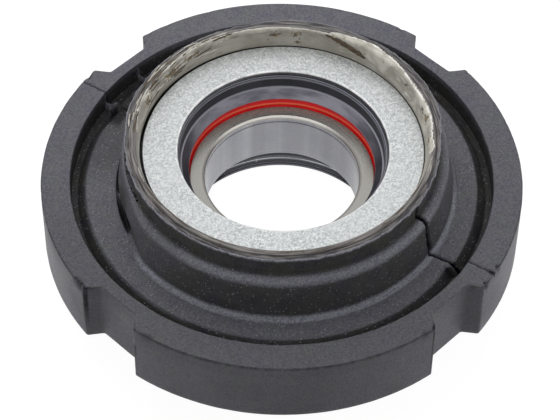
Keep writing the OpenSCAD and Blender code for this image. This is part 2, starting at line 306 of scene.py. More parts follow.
# Finishes
class Finish:
    """A material while it is built up: its shader, and the colour laid on so far."""

    def __init__(self, name, **constants):
        self.material = bpy.data.materials.new(name)
        self.material.use_nodes = True
        self.tree = self.material.node_tree
        self.shader = self.tree.nodes["Principled BSDF"]
        self.colour = None
        for label, value in constants.items():
            self.shader.inputs[label.replace("_", " ")].default_value = value

    def clouds(self, scale, softness):
        return effect(self.tree, CLOUDS, Scale=scale, Softness=softness)

    def grain(self, scale):
        return effect(self.tree, GRAIN, Scale=scale)

    def specks(self, scale, share, size):
        return effect(self.tree, SPECKS, Scale=scale, Share=share, Size=size)

    def turned(self, around, across):
        return effect(self.tree, TURNING_MARKS, Around=around, Across=across)

    def wear(self, scale):
        return effect(self.tree, EDGE_WEAR_AND_HIGHLIGHT, Scale=scale)

    def marked(self, label):
        return marked_share(self.tree, label)

    def above(self, value, start, stop):
        return fade(self.tree, value, start, stop)

    def combine(self, operation, first, second=0.0):
        return maths(self.tree, operation, first, second)

    def between(self, mask, first, second):
        return blend_colour(self.tree, mask, first, second)

    def start(self, mask, first, second):
        self.colour = self.between(mask, first, second)

    def lay(self, over, mask, strength=None):
        """Lays a colour over the colour so far, where a mask says and at a share of its strength."""
        if strength is not None:
            mask = self.combine("MULTIPLY", mask, strength)
        self.colour = self.between(mask, self.colour, over)

    def stain(self):
        brown = self.between(self.clouds(700.0, 0.2), tone(46, 40, 32), tone(122, 102, 66))
        self.lay(brown, effect(self.tree, STAINS), 0.85)

    def feed(self, label, value):
        self.tree.links.new(value, self.shader.inputs[label])

    def done(self, mask, smooth, rough, height, depth):
        """The material, with a roughness between two values and bumps of a depth in millimetres."""
        limits = {"Value": mask, "To Min": smooth, "To Max": rough}
        bumps = {"Height": height, "Strength": 1.0, "Distance": depth * MM}
        self.feed("Base Color", self.colour)
        self.feed("Roughness", add(self.tree, "ShaderNodeMapRange", limits).outputs[0])
        self.feed("Normal", add(self.tree, "ShaderNodeBump", bumps).outputs[0])
        return self.material


def cushion_rubber():
    rubber = Finish("cushion_rubber", Specular_IOR_Level=0.28)
    clouds, tints = rubber.clouds(45.0, 0.2), rubber.clouds(110.0, 0.12)
    patches, fine = rubber.clouds(190.0, 0.16), rubber.clouds(1300.0, 0.2)
    # Painted shade: a darker copy of the rubber's colour, laid over the groove, neck, hub, torn hollows, far
    # web and the near stretch of the flat face.
    rubber.start(patches, tone(32, 31, 35), tone(50, 49, 50))
    rubber.lay(tone(50, 49, 38), tints, 0.5)
    rubber.lay(tone(72, 71, 74), fine, 0.4)
    painted_shade_tone = rubber.colour
    rubber.start(clouds, tone(73, 73, 82), tone(83, 83, 87))
    rubber.lay(tone(72, 77, 72), tints, 0.4)
    rubber.lay(tone(66, 61, 80), patches, 0.5)
    rubber.lay(tone(114, 113, 117), fine, 0.5)
    rubber.lay(painted_shade_tone, rubber.marked("painted_shade"))
    dust = rubber.combine("MULTIPLY", rubber.specks(950.0, 0.3, 0.32), rubber.marked("dusty"))
    rubber.lay(tone(150, 150, 154), dust, 0.6)
    # Pale edges: rubbed wear on the lip and flash strips, and a painted highlight on the ridge's crest and
    # the hub's near shoulder.
    rubber.lay(tone(122, 123, 132), rubber.marked("edge"), 0.45)
    rubber.lay(tone(152, 153, 162), rubber.wear(1300.0), 0.55)
    lines = rubber.above(rubber.turned(7.0, 2100.0), 0.4, 0.64)
    rubber.lay(rubber.between(lines, tone(48, 45, 46), tone(116, 112, 110)), rubber.marked("drawn"))
    # Painted shade: slits, nicks, edge and corner lines, torn ends and the groove and hollow floors are
    # painted near-black, with full metallic so that they reflect nothing.
    painted_crack_shade = rubber.marked("mark")
    rubber.lay(tone(13, 11, 16), painted_crack_shade)
    rubber.feed("Metallic", painted_crack_shade)
    return rubber.done(clouds, 0.44, 0.56, rubber.grain(1300.0), 0.2)


def seal_rubber():
    seal = Finish("seal_rubber", Specular_IOR_Level=0.22)
    clouds = seal.clouds(90.0, 0.14)
    sweep = seal.above(seal.turned(3.0, 160.0), 0.35, 0.65)
    seal.start(clouds, tone(44, 45, 52), tone(58, 59, 65))
    # Grey band on the upper funnel: grease smears, with a painted sheen of the bright sky over them.
    seal.lay(seal.between(sweep, tone(98, 97, 106), tone(138, 137, 146)), seal.marked("mark"))
    # Painted highlight: thin light lines along the rounded edges.
    seal.lay(tone(142, 143, 152), seal.marked("edge"), 0.75)
    seal.lay(tone(190, 190, 190), seal.specks(330.0, 0.05, 0.22), 0.6)
    return seal.done(clouds, 0.28, 0.42, seal.grain(900.0), 0.05)


def red_lip():
    lip = Finish("red_lip", Specular_IOR_Level=0.75)
    clouds = lip.clouds(160.0, 0.2)
    lip.start(clouds, tone(224, 22, 30), tone(236, 33, 37))
    # Painted highlight: a bright orange-red line along the lip's bead.
    lip.lay(tone(255, 118, 84), lip.marked("mark"))
    return lip.done(clouds, 0.3, 0.45, lip.turned(6.0, 1500.0), 0.03)


def sleeve_steel():
    steel = Finish("sleeve_steel", Metallic=0.2)
    clouds = steel.clouds(90.0, 0.18)
    streaks, lines = steel.turned(7.0, 1100.0), steel.turned(5.0, 3200.0)
    steel.start(clouds, tone(138, 134, 123), tone(166, 163, 154))
    steel.lay(tone(180, 176, 164), steel.above(streaks, 0.6, 0.74))
    steel.lay(tone(74, 66, 56), steel.combine("SUBTRACT", 1.0, steel.above(streaks, 0.24, 0.38)))
    smoked = steel.between(steel.above(lines, 0.38, 0.66), tone(52, 50, 52), tone(126, 122, 120))
    steel.lay(smoked, steel.combine("MAXIMUM", steel.marked("mark"), steel.marked("lined")), 0.9)
    steel.lay(tone(60, 52, 42), steel.specks(420.0, 0.06, 0.35), 0.7)
    steel.stain()
    # Painted shade: the wall is painted near-black just below each washer's top, where the gap beside the
    # washers lies in shade.
    height = add(steel.tree, "ShaderNodeSeparateXYZ", {0: object_place(steel.tree)}).outputs[2]
    level = steel.combine("ABSOLUTE", height)
    clear = steel.above(level, (WASHER_TOP - 0.1) * MM, (WASHER_TOP + 0.15) * MM)
    steel.lay(tone(12, 11, 12), steel.combine("SUBTRACT", 1.0, clear))
    return steel.done(clouds, 0.4, 0.6, streaks, 0.12)


def galvanised_zinc():
    zinc = Finish("galvanised_zinc", Metallic=0.85)
    cells = add(zinc.tree, "ShaderNodeTexVoronoi", {"Vector": object_place(zinc.tree), "Scale": 1700.0})
    flake = add(zinc.tree, "ShaderNodeSeparateColor", {"Color": cells.outputs["Color"]}).outputs[0]
    zinc.start(flake, tone(166, 170, 172), tone(230, 233, 232))
    zinc.lay(tone(206, 209, 210), zinc.clouds(140.0, 0.22), 0.45)
    zinc.lay(tone(138, 144, 147), zinc.specks(700.0, 0.06, 0.32), 0.55)
    # Pale wear along the washers' rounded edges, which also stands for a painted glint on them.
    zinc.lay(tone(244, 245, 246), zinc.wear(200.0), 0.9)
    # Painted shade: the washer's inner face is darkened.
    zinc.lay(tone(58, 58, 62), zinc.marked("mark"), 0.85)
    return zinc.done(flake, 0.36, 0.52, zinc.grain(1400.0), 0.04)


def bearing_steel():
    steel = Finish("bearing_steel")
    marks, reflection_bands = steel.turned(4.0, 2600.0), steel.turned(2.6, 0.0)
    rounded, greasy = steel.marked("rounded"), steel.marked("grease")
    steel.start(steel.clouds(70.0, 0.25), tone(152, 153, 159), tone(164, 164, 168))
    # Painted reflection: soft stripes down the bore, set by angle only.
    steel.lay(tone(122, 122, 128), steel.above(reflection_bands, 0.34, 0.66), 0.6)
    # Painted shade on the bore's right side.
    steel.lay(tone(112, 112, 118), steel.marked("bore_shade"), 0.55)
    steel.lay(tone(166, 165, 160), steel.marked("mark"))
    # Painted highlight on the rounded edge into the bore: pale all round, darkened again at the sides and
    # near side, so that only its far side stays bright.
    steel.lay(tone(206, 204, 197), rounded)
    steel.lay(tone(92, 88, 86), steel.marked("rolled"), 0.8)
    grease = steel.between(steel.clouds(900.0, 0.2), tone(62, 59, 53), tone(116, 112, 103))
    steel.lay(grease, greasy, 0.8)
    dulled = steel.combine("MULTIPLY", steel.combine("MAXIMUM", rounded, greasy), 0.75)
    steel.feed("Metallic", steel.combine("SUBTRACT", 1.0, dulled))
    return steel.done(marks, 0.2, 0.36, marks, 0.015)


def polished_steel():
    ball = Finish("polished_steel", Metallic=1.0)
    clouds = ball.clouds(200.0, 0.3)
    ball.start(clouds, tone(214, 216, 220), tone(226, 227, 230))
    return ball.done(clouds, 0.08, 0.16, clouds, 0.005)


def pressed_steel():
    cage = Finish("pressed_steel", Metallic=1.0)
    clouds = cage.clouds(150.0, 0.2)
    cage.start(clouds, tone(160, 160, 160), tone(184, 184, 182))
    return cage.done(clouds, 0.3, 0.45, cage.grain(800.0), 0.03)


def coated_plate():
    plate = Finish("coated_plate", Metallic=0.4)
    clouds = plate.clouds(110.0, 0.16)
    plate.start(clouds, tone(92, 92, 96), tone(122, 120, 125))
    plate.lay(tone(52, 54, 56), plate.specks(350.0, 0.04, 0.25), 0.5)
    return plate.done(clouds, 0.32, 0.5, plate.grain(700.0), 0.05)


def dried_adhesive():
    adhesive = Finish("dried_adhesive")
    clouds, streaks = adhesive.clouds(170.0, 0.18), adhesive.turned(9.0, 700.0)
    adhesive.start(clouds, tone(140, 136, 126), tone(184, 180, 170))
    adhesive.lay(tone(206, 203, 195), adhesive.above(streaks, 0.58, 0.76))
    adhesive.lay(tone(110, 98, 78), adhesive.specks(520.0, 0.07, 0.34), 0.6)
    adhesive.lay(tone(232, 230, 224), adhesive.wear(350.0), 0.85)
    adhesive.stain()
    return adhesive.done(clouds, 0.5, 0.68, streaks, 0.15)


def burnt_grime():
    grime = Finish("burnt_grime")
    clouds = grime.clouds(400.0, 0.2)
    grime.start(clouds, tone(40, 34, 30), tone(86, 72, 54))
    return grime.done(clouds, 0.45, 0.7, grime.grain(1200.0), 0.1)


def pale_dust():
    dust = Finish("pale_dust")
    clouds = dust.clouds(900.0, 0.3)
    dust.start(clouds, tone(104, 104, 108), tone(164, 164, 164))
    return dust.done(clouds, 0.6, 0.9, clouds, 0.02)


RUBBER, BLACK_RUBBER, RED, SLEEVE = cushion_rubber(), seal_rubber(), red_lip(), sleeve_steel()
ZINC, STEEL, BALL, CAGE = galvanised_zinc(), bearing_steel(), polished_steel(), pressed_steel()
PLATE, ADHESIVE, GRIME, DUST = coated_plate(), dried_adhesive(), burnt_grime(), pale_dust()


# Rounded sections
ARC_STEPS = 5
CORNER_SHARE = 0.45
SUPPORT = 0.15
ARC_PLACE = 0.01


def corner_arc(a, b, c, radius):
    """Points of the arc that rounds corner b of a section, between its neighbours a and c."""
    to_a, to_c = a - b, c - b
    length_a, length_c = np.linalg.norm(to_a), np.linalg.norm(to_c)
    u, v = to_a / length_a, to_c / length_c
    half = math.acos(max(-1.0, min(1.0, float(u @ v)))) / 2
    back = min(radius / math.tan(half), CORNER_SHARE * min(length_a, length_c))
    radius = back * math.tan(half)
    middle = (u + v) / np.linalg.norm(u + v)
    centre = b + middle * radius / math.sin(half)
    start, stop = b + u * back - centre, b + v * back - centre
    first = math.atan2(start[1], start[0])
    turn = math.atan2(start[0] * stop[1] - start[1] * stop[0], float(start @ stop))
    angles = [first + turn * i / ARC_STEPS for i in range(ARC_STEPS + 1)]
    return [centre + radius * np.array((math.cos(t), math.sin(t))) for t in angles]


def section(corners, longest):
    """Closed outline from [radius, height, corner radius], and each point's place among the corners.

    Places 2.99 to 3.01 run through the rounding of corner 3, and 3.5 is halfway from there to corner 4.
    """
    flat = [np.array(c[:2], float) for c in corners]
    count = len(flat)
    arcs = []
    for i, (_, _, radius) in enumerate(corners):
        arcs.append(corner_arc(flat[i - 1], flat[i], flat[(i + 1) % count], radius) if radius else [flat[i]])
    points, places = [], []
    for i, arc in enumerate(arcs):
        points += arc
        places += list(np.linspace(i - ARC_PLACE, i + ARC_PLACE, len(arc))) if len(arc) > 1 else [float(i)]
        start, stop = arc[-1], arcs[(i + 1) % count][0]
        length = np.linalg.norm(stop - start)
        cuts = list(np.linspace(0, 1, max(1, math.ceil(length / longest)) + 1)[1:-1])
        if length > 4 * SUPPORT:
            cuts = sorted({SUPPORT / length, *cuts, 1 - SUPPORT / length})
        for share in cuts:
            points.append(start + (stop - start) * share)
            places.append(i + share)
    return np.array(points), np.array(places)


def on_edge(places):
    """Which points of a section lie in the rounding of a corner."""
    return np.abs(places - np.round(places)) < 1.05 * ARC_PLACE


def mirrored(corners):
    return [(r, -z, rounding) for r, z, rounding in reversed(corners)]


def mirrored_places(stretches, count):
    """Places on a mirrored section of the stretches of places on a section."""
    return [((count - 1 - stop) % count, (count - 1 - start) % count) for start, stop in stretches]


# Mesh helpers
def keep(name, mesh, body, replaced=None):
    """A finished piece on its body and the solid that it stands for."""
    piece = in_scene(name, mesh)
    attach(piece, body)
    if replaced:
        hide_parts(replaced)
    return piece


def signed_volume(points, faces):
    a, b, c = (points[faces[:, i]] for i in (0, 1, 2))
    d = points[faces[:, 3]]
    return float((np.cross(a, b) * c).sum() + (np.cross(a, c) * d).sum()) / 6


def around_axis(radius, turn, height):
    """Points at a radius and a height, turned about the shaft's axis by angles in radians."""
    return np.stack([radius * np.cos(turn), radius * np.sin(turn), height], axis=-1)


def set_marks(mesh, shares):
    """Keeps values from 0 to 1 at the points of a mesh, for its finish."""
    for label, values in shares.items():
        mesh.attributes.new(label, "FLOAT", "POINT").data.foreach_set("value", values.astype(np.float32))


def mesh_of(name, points, faces, finish, marks):
    """A smooth closed mesh from points in millimetres, with its faces turned outwards."""
    if signed_volume(points, faces) < 0:
        faces = faces[:, ::-1]
    made = bpy.data.meshes.new(name)
    made.from_pydata((points * MM).tolist(), [], faces.tolist())
    set_marks(made, marks)
    made.polygons.foreach_set("use_smooth", [True] * len(made.polygons))
    made.materials.append(finish)
    return made


def window(value, start, stop, soft):
    """1 between start and stop, falling smoothly to 0 over the soft length outside them."""
    near = np.minimum(value - start, stop - value) / soft + 1
    near = np.clip(near, 0, 1)
    return near * near * (3 - 2 * near)


def fade_around(mesh, label, start, stop, soft):
    """Keeps a mark of a turned piece only between two angles around the axis."""
    count = len(mesh.vertices)
    places, values = np.empty(count * 3), np.empty(count)
    mesh.vertices.foreach_get("co", places)
    marks = mesh.attributes[label].data
    marks.foreach_get("value", values)
    middle = (start + stop) / 2
    turn = (np.degrees(np.arctan2(places[1::3], places[0::3])) - middle + 180) % 360 - 180 + middle
    marks.foreach_set("value", (values * window(turn, start, stop, soft)).astype(np.float32))


def grid_faces(rows, columns, close_rows, close_columns):
    """Quads between the rows and columns of a grid of points."""
    r = np.arange(rows if close_rows else rows - 1)
    c = np.arange(columns if close_columns else columns - 1)
    row, column = (v.ravel() for v in np.meshgrid(r, c, indexing="ij"))
    next_row, next_column = (row + 1) % rows, (column + 1) % columns
    corners = ((row, column), (row, next_column), (next_row, next_column), (next_row, column))
    return np.stack([i * columns + j for i, j in corners], axis=1)


# Turned rings, swept around the shaft's axis
def shape_tree(name, inputs, output):
    """A new tree that makes a shape, its inputs, and the identifier of each of them."""
    tree = bpy.data.node_groups.new(name, "GeometryNodeTree")
    sockets = {}
    for label, kind in inputs.items():
        socket = tree.interface.new_socket(label, in_out="INPUT", socket_type="NodeSocket" + kind)
        sockets[label] = socket.identifier
    tree.interface.new_socket(output, in_out="OUTPUT", socket_type="NodeSocketGeometry")
    return tree, add(tree, "NodeGroupInput").outputs, sockets


def end_tree(tree, shape, finish):
    whole = add(tree, "GeometryNodeRealizeInstances", {0: shape}).outputs[0]
    coated = add(tree, "GeometryNodeSetMaterial", {"Geometry": whole, "Material": finish}).outputs[0]
    add(tree, "NodeGroupOutput", {0: coated})


def make_turned_ring():
    """Tree that sweeps a closed section around the axis; the section lies beside the path's circle."""
    inputs = {"Section": "Geometry", "Path Radius": "Float", "Steps Around": "Int", "Finish": "Material"}
    tree, given, sockets = shape_tree("Turned ring", inputs, "Ring")
    outline = add(tree, "GeometryNodeMeshToCurve", {0: given["Section"]}).outputs[0]
    path = {"Resolution": given["Steps Around"], "Radius": given["Path Radius"]}
    circle = add(tree, "GeometryNodeCurvePrimitiveCircle", path).outputs[0]
    ring = add(tree, "GeometryNodeCurveToMesh", {"Curve": circle, "Profile Curve": outline}).outputs[0]
    smooth = add(tree, "GeometryNodeSetShadeSmooth", {"Geometry": ring}).outputs[0]
    end_tree(tree, smooth, given["Finish"])
    return tree, sockets


def plain_result(name, mesh, tree, sockets, values):
    """The mesh that a tree makes from another mesh, by way of an object that is taken away again."""
    source = in_scene(name, mesh)
    modifier = source.modifiers.new("shape", "NODES")
    modifier.node_group = tree
    for label, value in values.items():
        modifier[sockets[label]] = value
    shown = source.evaluated_get(bpy.context.evaluated_depsgraph_get())
    made = bpy.data.meshes.new_from_object(shown)
    source.modifiers.remove(modifier)
    bpy.data.objects.remove(source)
    return made


TURNED_RING, RING_SOCKETS = make_turned_ring()
RING_STEPS = 288
RING_SECTION_STEP = 6.0


def turned_ring(name, corners, finish, body, replaced, marked=None):
    """A ring from its section; each mark has the stretches of places that get its tone."""
    points, places = section(corners, RING_SECTION_STEP)
    path = float(points[:, 0].mean())
    count = len(points)
    flat = np.stack([points[:, 0] - path, -points[:, 1], np.zeros(count)], axis=1) * MM
    doubled_area = np.cross(flat[:, :2], np.roll(flat[:, :2], -1, axis=0)).sum()
    if doubled_area < 0:
        flat, places = flat[::-1], places[::-1]
    outline = bpy.data.meshes.new(name + "_section")
    outline.from_pydata(flat.tolist(), [(i, (i + 1) % count) for i in range(count)], [])
    shares = {"edge": on_edge(places)}
    for label, stretches in {"mark": [], **(marked or {})}.items():
        shares[label] = np.zeros(count, dtype=bool)
        for start, stop in stretches:
            shares[label] |= (places > start) & (places < stop)
    set_marks(outline, shares)
    values = {"Path Radius": path * MM, "Steps Around": RING_STEPS, "Finish": finish}
    made = plain_result(name + "_section", outline, TURNED_RING, RING_SOCKETS, values)
    return keep(name, made, body, replaced)


SLEEVE_SIDE = [
    (SLEEVE_IN, FLARE_START, 2.0),
    (FLARE_IN, SLEEVE_END, 0.44),
    (FLARE_OUT, SLEEVE_END, 0.44),
    (SLEEVE_OUT, FLARE_START, 0),
]
SLEEVE_ENDS = [(1.005, 2.2), (4.8, 5.995)]
SLEEVE_LINED, LINED_TURN = [(0.55, 1.01)], (126.0, 172.0, 14.0)
WASHER_INSIDE_SHADE = (3.02, 3.98)
WASHER = [
    (WASHER_IN, WASHER_FOOT, 0.35),
    (WASHER_OUT, WASHER_FOOT, 0.35),
    (WASHER_OUT, WASHER_TOP, 0.35),
    (WASHER_IN, WASHER_TOP, 0.6),
]
FUNNEL_EDGE_R = LIP_IN - 0.12
# The funnel's grey band stands partly for a painted sheen, and is kept to the far side.
FUNNEL_BAND, FUNNEL_GREY_TURN = (7.9, 9.02), (8.0, 84.0, 55.0)
SPACER = [
    (FUNNEL_FOOT_R, BEARING_HALF, 0.2),
    (SPACER_OUT, BEARING_HALF, 0.3),
    (SPACER_OUT, WASHER_FOOT - 2.2, 0.3),
    (SPACER_OUT - 2.4, WASHER_FOOT, 0.3),
    (FUNNEL_TOP_R + 0.6, WASHER_FOOT, 0.2),
    (FUNNEL_TOP_R, WASHER_FOOT - 0.6, 0.25),
    (FUNNEL_TOP_R + 0.15, WASHER_FOOT - 1.2, 0.1),
    (FUNNEL_R + 0.45, FUNNEL_Z + 0.35, 0.2),
    (FUNNEL_R - 0.05, FUNNEL_Z, 0.25),
    (FUNNEL_EDGE_R, LIP_TOP + 0.3, 0.12),
    (FUNNEL_EDGE_R + 0.15, LIP_TOP + 0.06, 0.05),
    (FUNNEL_FOOT_R, LIP_TOP + 0.04, 0.05),
]
DUST_SEAL = [
    (DUST_IN, DUST_START, 0.3),
    (DUST_OUT, DUST_START, 0.3),
    (DUST_OUT, DUST_DISC_Z, 0.4),
    (DUST_LIP_R, DUST_DISC_Z, 0.4),
    (DUST_LIP_R, DUST_END, 0.4),
    (DUST_IN, DUST_END, 0.4),
    (DUST_IN, DUST_END + 1.0, 0.2),
    (DUST_IN + 0.7, DUST_END + 1.5, 0.2),
    (DUST_IN + 0.7, DUST_DISC_Z + 0.2, 0.2),
    (DUST_IN, DUST_DISC_Z + 0.7, 0.2),
]
SEAL_PLATE = [
    (PLATE_IN, PLATE_FOOT, 0.1),
    (PLATE_OUT, PLATE_FOOT, 0.1),
    (PLATE_OUT, PLATE_TOP, 0.25),
    (PLATE_OUT - 1.0, PLATE_TOP, 0.1),
    (PLATE_OUT - 1.3, PLATE_TOP - 0.25, 0.1),
    (PLATE_IN + 1.1, PLATE_TOP - 0.25, 0.1),
    (PLATE_IN + 0.8, PLATE_TOP, 0.1),
    (PLATE_IN, PLATE_TOP, 0.1),
]
LIP_BEAD_Z, LIP_BEAD_R = 12.0, 36.68
# Stretch of the lip's section that gets the painted highlight along its bead.
LIP_BEAD_HIGHLIGHT = (6.8, 8.2)
RED_LIP = [
    (LIP_IN, LIP_FOOT, 0.1),
    (LIP_OUT, LIP_FOOT, 0.1),
    (LIP_OUT, LIP_BASE_TOP, 0.1),
    (LIP_EDGE_R + 0.15, LIP_BASE_TOP, 0.05),
    (LIP_EDGE_R + 0.15, LIP_TOP, 0.1),
    (LIP_EDGE_R, LIP_TOP, 0.1),
    (LIP_EDGE_R, LIP_BEAD_Z + 1.1, 0.3),
    (LIP_BEAD_R, LIP_BEAD_Z + 0.35, 0.3),
    (LIP_BEAD_R, LIP_BEAD_Z - 0.35, 0.3),
    (LIP_EDGE_R, LIP_BEAD_Z - 1.0, 0.2),
    (LIP_IN + 0.35, LIP_FOOT + 1.0, 0.1),
]
RACE_HALF = math.acos((RACE_CENTRE - RING_R) / RACE_R)
RACE_POINTS = 6
RACE_STEP = RACE_HALF / RACE_POINTS
BORE_EDGE = 1.75
RING_FACE, RING_ROLL, GREASE = (2.012, 3.02), (1.985, 2.012), (2.3, 3.02)
BORE_WALL = [(-1.0, 1.985), (22.01, 26.0)]
ROLL_SHADE_TURN, GREASE_TURN, BORE_SHADE_TURN = (115.0, 346.0, 36.0), (-30.0, 95.0, 30.0), (-80.0, 5.0, 30.0)
BORE_RELIEF = 0.12
INNER_RING_SIDE = [
    (BORE_R, BEARING_HALF - 2.9, 0.5),
    (BORE_R + BORE_RELIEF, BEARING_HALF - 2.3, 0.5),
    (BORE_R + BORE_RELIEF, BEARING_HALF, BORE_EDGE),
    (RING_FACE_R, BEARING_HALF, 0.35),
    (RING_FACE_R, RING_STEP_Z, 0.15),
    (RING_R, RING_STEP_Z, 0.2),
]
RACE = [
    (RACE_CENTRE - RACE_R * math.cos(turn), RACE_R * math.sin(turn), 0)
    for turn in (RACE_HALF - i * RACE_STEP for i in range(2 * RACE_POINTS + 1))
]

sleeve = turned_ring(
    "sleeve_turned",
    SLEEVE_SIDE + mirrored(SLEEVE_SIDE),
    SLEEVE,
    "housing",
    "carrier_sleeve",
    {"mark": SLEEVE_ENDS, "lined": SLEEVE_LINED},
)
fade_around(sleeve.data, "lined", *LINED_TURN)
WASHER_SHIFT = Vector((0.49, -0.08, 0)) * MM
for side, shaped in (("upper", list), ("lower", mirrored)):
    for label, corners, finish, slot, marked in (
        ("washer", WASHER, ZINC, "zinc", [WASHER_INSIDE_SHADE]),
        ("spacer_ring", SPACER, BLACK_RUBBER, "seal_rubber", [FUNNEL_BAND]),
        ("seal_plate", SEAL_PLATE, PLATE, "seal_plate", []),
        ("seal_lip", RED_LIP, RED, "red_lip", [LIP_BEAD_HIGHLIGHT]),
    ):
        node = f"{side}_{label}"
        if side == "lower":
            marked = mirrored_places(marked, len(corners)) if label != "spacer_ring" else []
        ring = turned_ring(node + "_turned", shaped(corners), finish, "housing", node, {"mark": marked})
        if node == "upper_washer":
            ring.data.transform(Matrix.Translation(WASHER_SHIFT))
        if node == "upper_spacer_ring":
            fade_around(ring.data, "mark", *FUNNEL_GREY_TURN)
turned_ring("dust_seal_turned", DUST_SEAL, BLACK_RUBBER, "housing", "lower_dust_seal")
inner_ring = turned_ring(
    "inner_ring_turned",
    INNER_RING_SIDE + RACE + mirrored(INNER_RING_SIDE),
    STEEL,
    "inner_race",
    "bearing_inner_ring",
    {
        "mark": [RING_FACE],
        "rounded": [RING_ROLL],
        "rolled": [RING_ROLL],
        "grease": [GREASE],
        "bore_shade": BORE_WALL,
    },
)
fade_around(inner_ring.data, "rolled", *ROLL_SHADE_TURN)
fade_around(inner_ring.data, "grease", *GREASE_TURN)
fade_around(inner_ring.data, "bore_shade", *BORE_SHADE_TURN)


# Rubber cushion
def cushion_side(face):
    """One side of the cushion's section, from the sleeve outwards to the ring's face."""
    web = face - WEB_DROP
    lip_foot = NECK_TOP - NECK_LIP_H
    return [
        (SLEEVE_OUT, FLARE_START, 0),
        (SLEEVE_OUT + FLARE_SPREAD * (NECK_TOP - FLARE_START) / FLARE_LENGTH, NECK_TOP, 0),
        (NECK_LIP_R, NECK_TOP - NECK_LIP_H / 4, 0.4),
        (NECK_LIP_R, lip_foot, 0.4),
        (NECK_R, lip_foot - NECK_LIP_H / 4, 0.6),
        (NECK_R, SHOULDER_Z, 0.12),
        (SHOULDER_R, SHOULDER_Z, 2.4),
        (RIDGE_IN, web + RIDGE_H, 0.4),
        (RIDGE_TOP_OUT, web + RIDGE_H, 0.4),
        (RIDGE_OUT, web, 0.4),
        (GROOVE_IN - GROOVE_SLOPE, web, 0.9),
        (GROOVE_FOOT, face - GROOVE_DEPTH, 1.0),
        (GROOVE_OUT, face - GROOVE_DEPTH, 0.6),
        (GROOVE_OUT, face, 0.4),
        (CUSHION_R, face, 0.6),
    ]


def from_notch(angle):
    """Angle from the middle of the nearest notch."""
    return np.abs((angle + 45) % 90 - 45)


def from_slit(angle, slit):
    """Angle from a slit, either way round."""
    return np.abs((angle - slit + 180) % 360 - 180)


def ring_edge(angle):
    """Radius of the cushion's outside at angles in degrees, with its four notches."""
    t = np.radians(from_notch(angle))
    floor = NOTCH_FLOOR / np.cos(t)
    mouth_x = math.sqrt(CUSHION_R**2 - MOUTH_HALF**2)
    slope = (MOUTH_HALF - NOTCH_HALF) / (mouth_x - NOTCH_FLOOR)
    flank = (NOTCH_HALF - slope * NOTCH_FLOOR) / np.minimum(np.tan(t) - slope, FLANK_LEAST) / np.cos(t)
    hollow = (floor + flank + np.hypot(floor - flank, NOTCH_FOOT_SOFT)) / 2
    hollow = np.where(np.tan(t) > NOTCH_REACH, 2 * CUSHION_R, hollow)
    return (hollow + CUSHION_R - np.hypot(hollow - CUSHION_R, NOTCH_MOUTH_SOFT)) / 2


def noise_at(points, scale, seed):
    """Smooth noise from -1 to 1 at points in millimetres."""
    shift = Vector((seed * 17.3, seed * 5.1, seed * 9.7))
    return np.array([noise.noise(Vector(p) * scale + shift) for p in points])


def noise_along(values, scale, *aside):
    """Smooth noise from -1 to 1 along a line, at a place aside that sets it apart from other lines."""
    return np.array([noise.noise(Vector((v * scale, *aside))) for v in values])


# Corners of the cushion's section, from the sleeve outwards; AT_RIM + 0.5 lies halfway to the next one
(
    AT_SLEEVE,
    AT_NECK_END,
    AT_LIP_HEAD,
    AT_LIP_FOOT,
    AT_NECK_HEAD,
    AT_NECK_FOOT,
    AT_SHOULDER,
    AT_HUB_FOOT,
    AT_CREST,
    AT_RIDGE_END,
    AT_WEB_END,
    AT_GROOVE_FOOT,
    AT_GROOVE_CORNER,
    AT_FACE,
    AT_RIM,
    AT_LOWER_RIM,
) = range(16)
CUSHION_CORNERS = 2 * AT_LOWER_RIM

# Columns of the cushion's mesh, in degrees: finer on the notches' flanks and at torn places
SECTION_STEP, COLUMN_STEP, FLANK_STEP, FINE_STEP = 1.45, 1.05, 0.28, 0.4
NOTCH_ANGLES = (0, 90, 180, 270)
FLANK_MIDDLE, FLANK_CLEAR = 7.2, 1.9
FLANK_FROM, FLANK_TO = 5.4, 9.05
FINE_ANGLES = ((86.5, 92.0), (166.0, 170.9), (274.9, 280.9), (285.1, 293.0))
SLIT_SHAPE = ((-1.5, 0.0), (-0.34, 0.0), (-0.14, 1.0), (0.14, 1.0), (0.34, 0.0), (1.5, 0.0))
FAR_SLIT, NEAR_SLIT = SLIT_ANGLES
SLIT_CLEAR, SLIT_R, SLIT_WIDE = 1.9, 80.0, 1.0

# Wear, moulding marks and painted light and shade of the cushion; a stretch around it has its start, end and
# softness in degrees
NOTCH_PULL = 1.04
GROOVE_WIDER, GROOVE_WIDE_ANGLE = 2.1, 8.0
FLASH_STRIPS = ((103.15, 103.6, 0.3, 1.0), (88.9, 89.3, 0.35, 0.7))
FLASH_RISE = 0.95 * (GROOVE_DEPTH - WEB_DROP)
HUB_NARROW, FOOT_NARROW = (112.0, 152.0, 20.0), (122.0, 160.0, 14.0)
HUB_NARROWER, FOOT_NARROWER = 2.6, 3.2
MOATS = ((124.5, 136.5, 3.0), (142.5, 154.0, 5.0))
MOAT_DEPTH, MOAT_UNDERCUT = 4.2, 1.6
HOLLOW_SHADES = ((130.5, 7.5, 0.55), (148.0, 8.0, 1.0))
LUMP_H, SMALL_LUMP_H, FACE_LUMPS = 0.14, 0.08, 0.45
NOISE_R = 66.0
LIP_WIDER, LIP_WIDE, LIP_LESS_WIDE = 2.0, (-28.0, 40.0, 22.0), (30.0, 118.0, 15.0)
TORN_EDGES = ((276.5, 282.0, 2.0), (169.5, 171.8, 0.8))
NICK_DEPTH, NICK_DROP = 0.9, 0.55
SLIT_STRAY = 1.2
SLIT_GAPES = (
    (AT_NECK_HEAD + 0.1, AT_HUB_FOOT - 0.1, 0.4, 3.2),
    (AT_HUB_FOOT + 0.3, AT_RIDGE_END + 0.6, 0.4, 1.6),
    (AT_WEB_END, AT_GROOVE_FOOT, 0.3, 2.6),
)
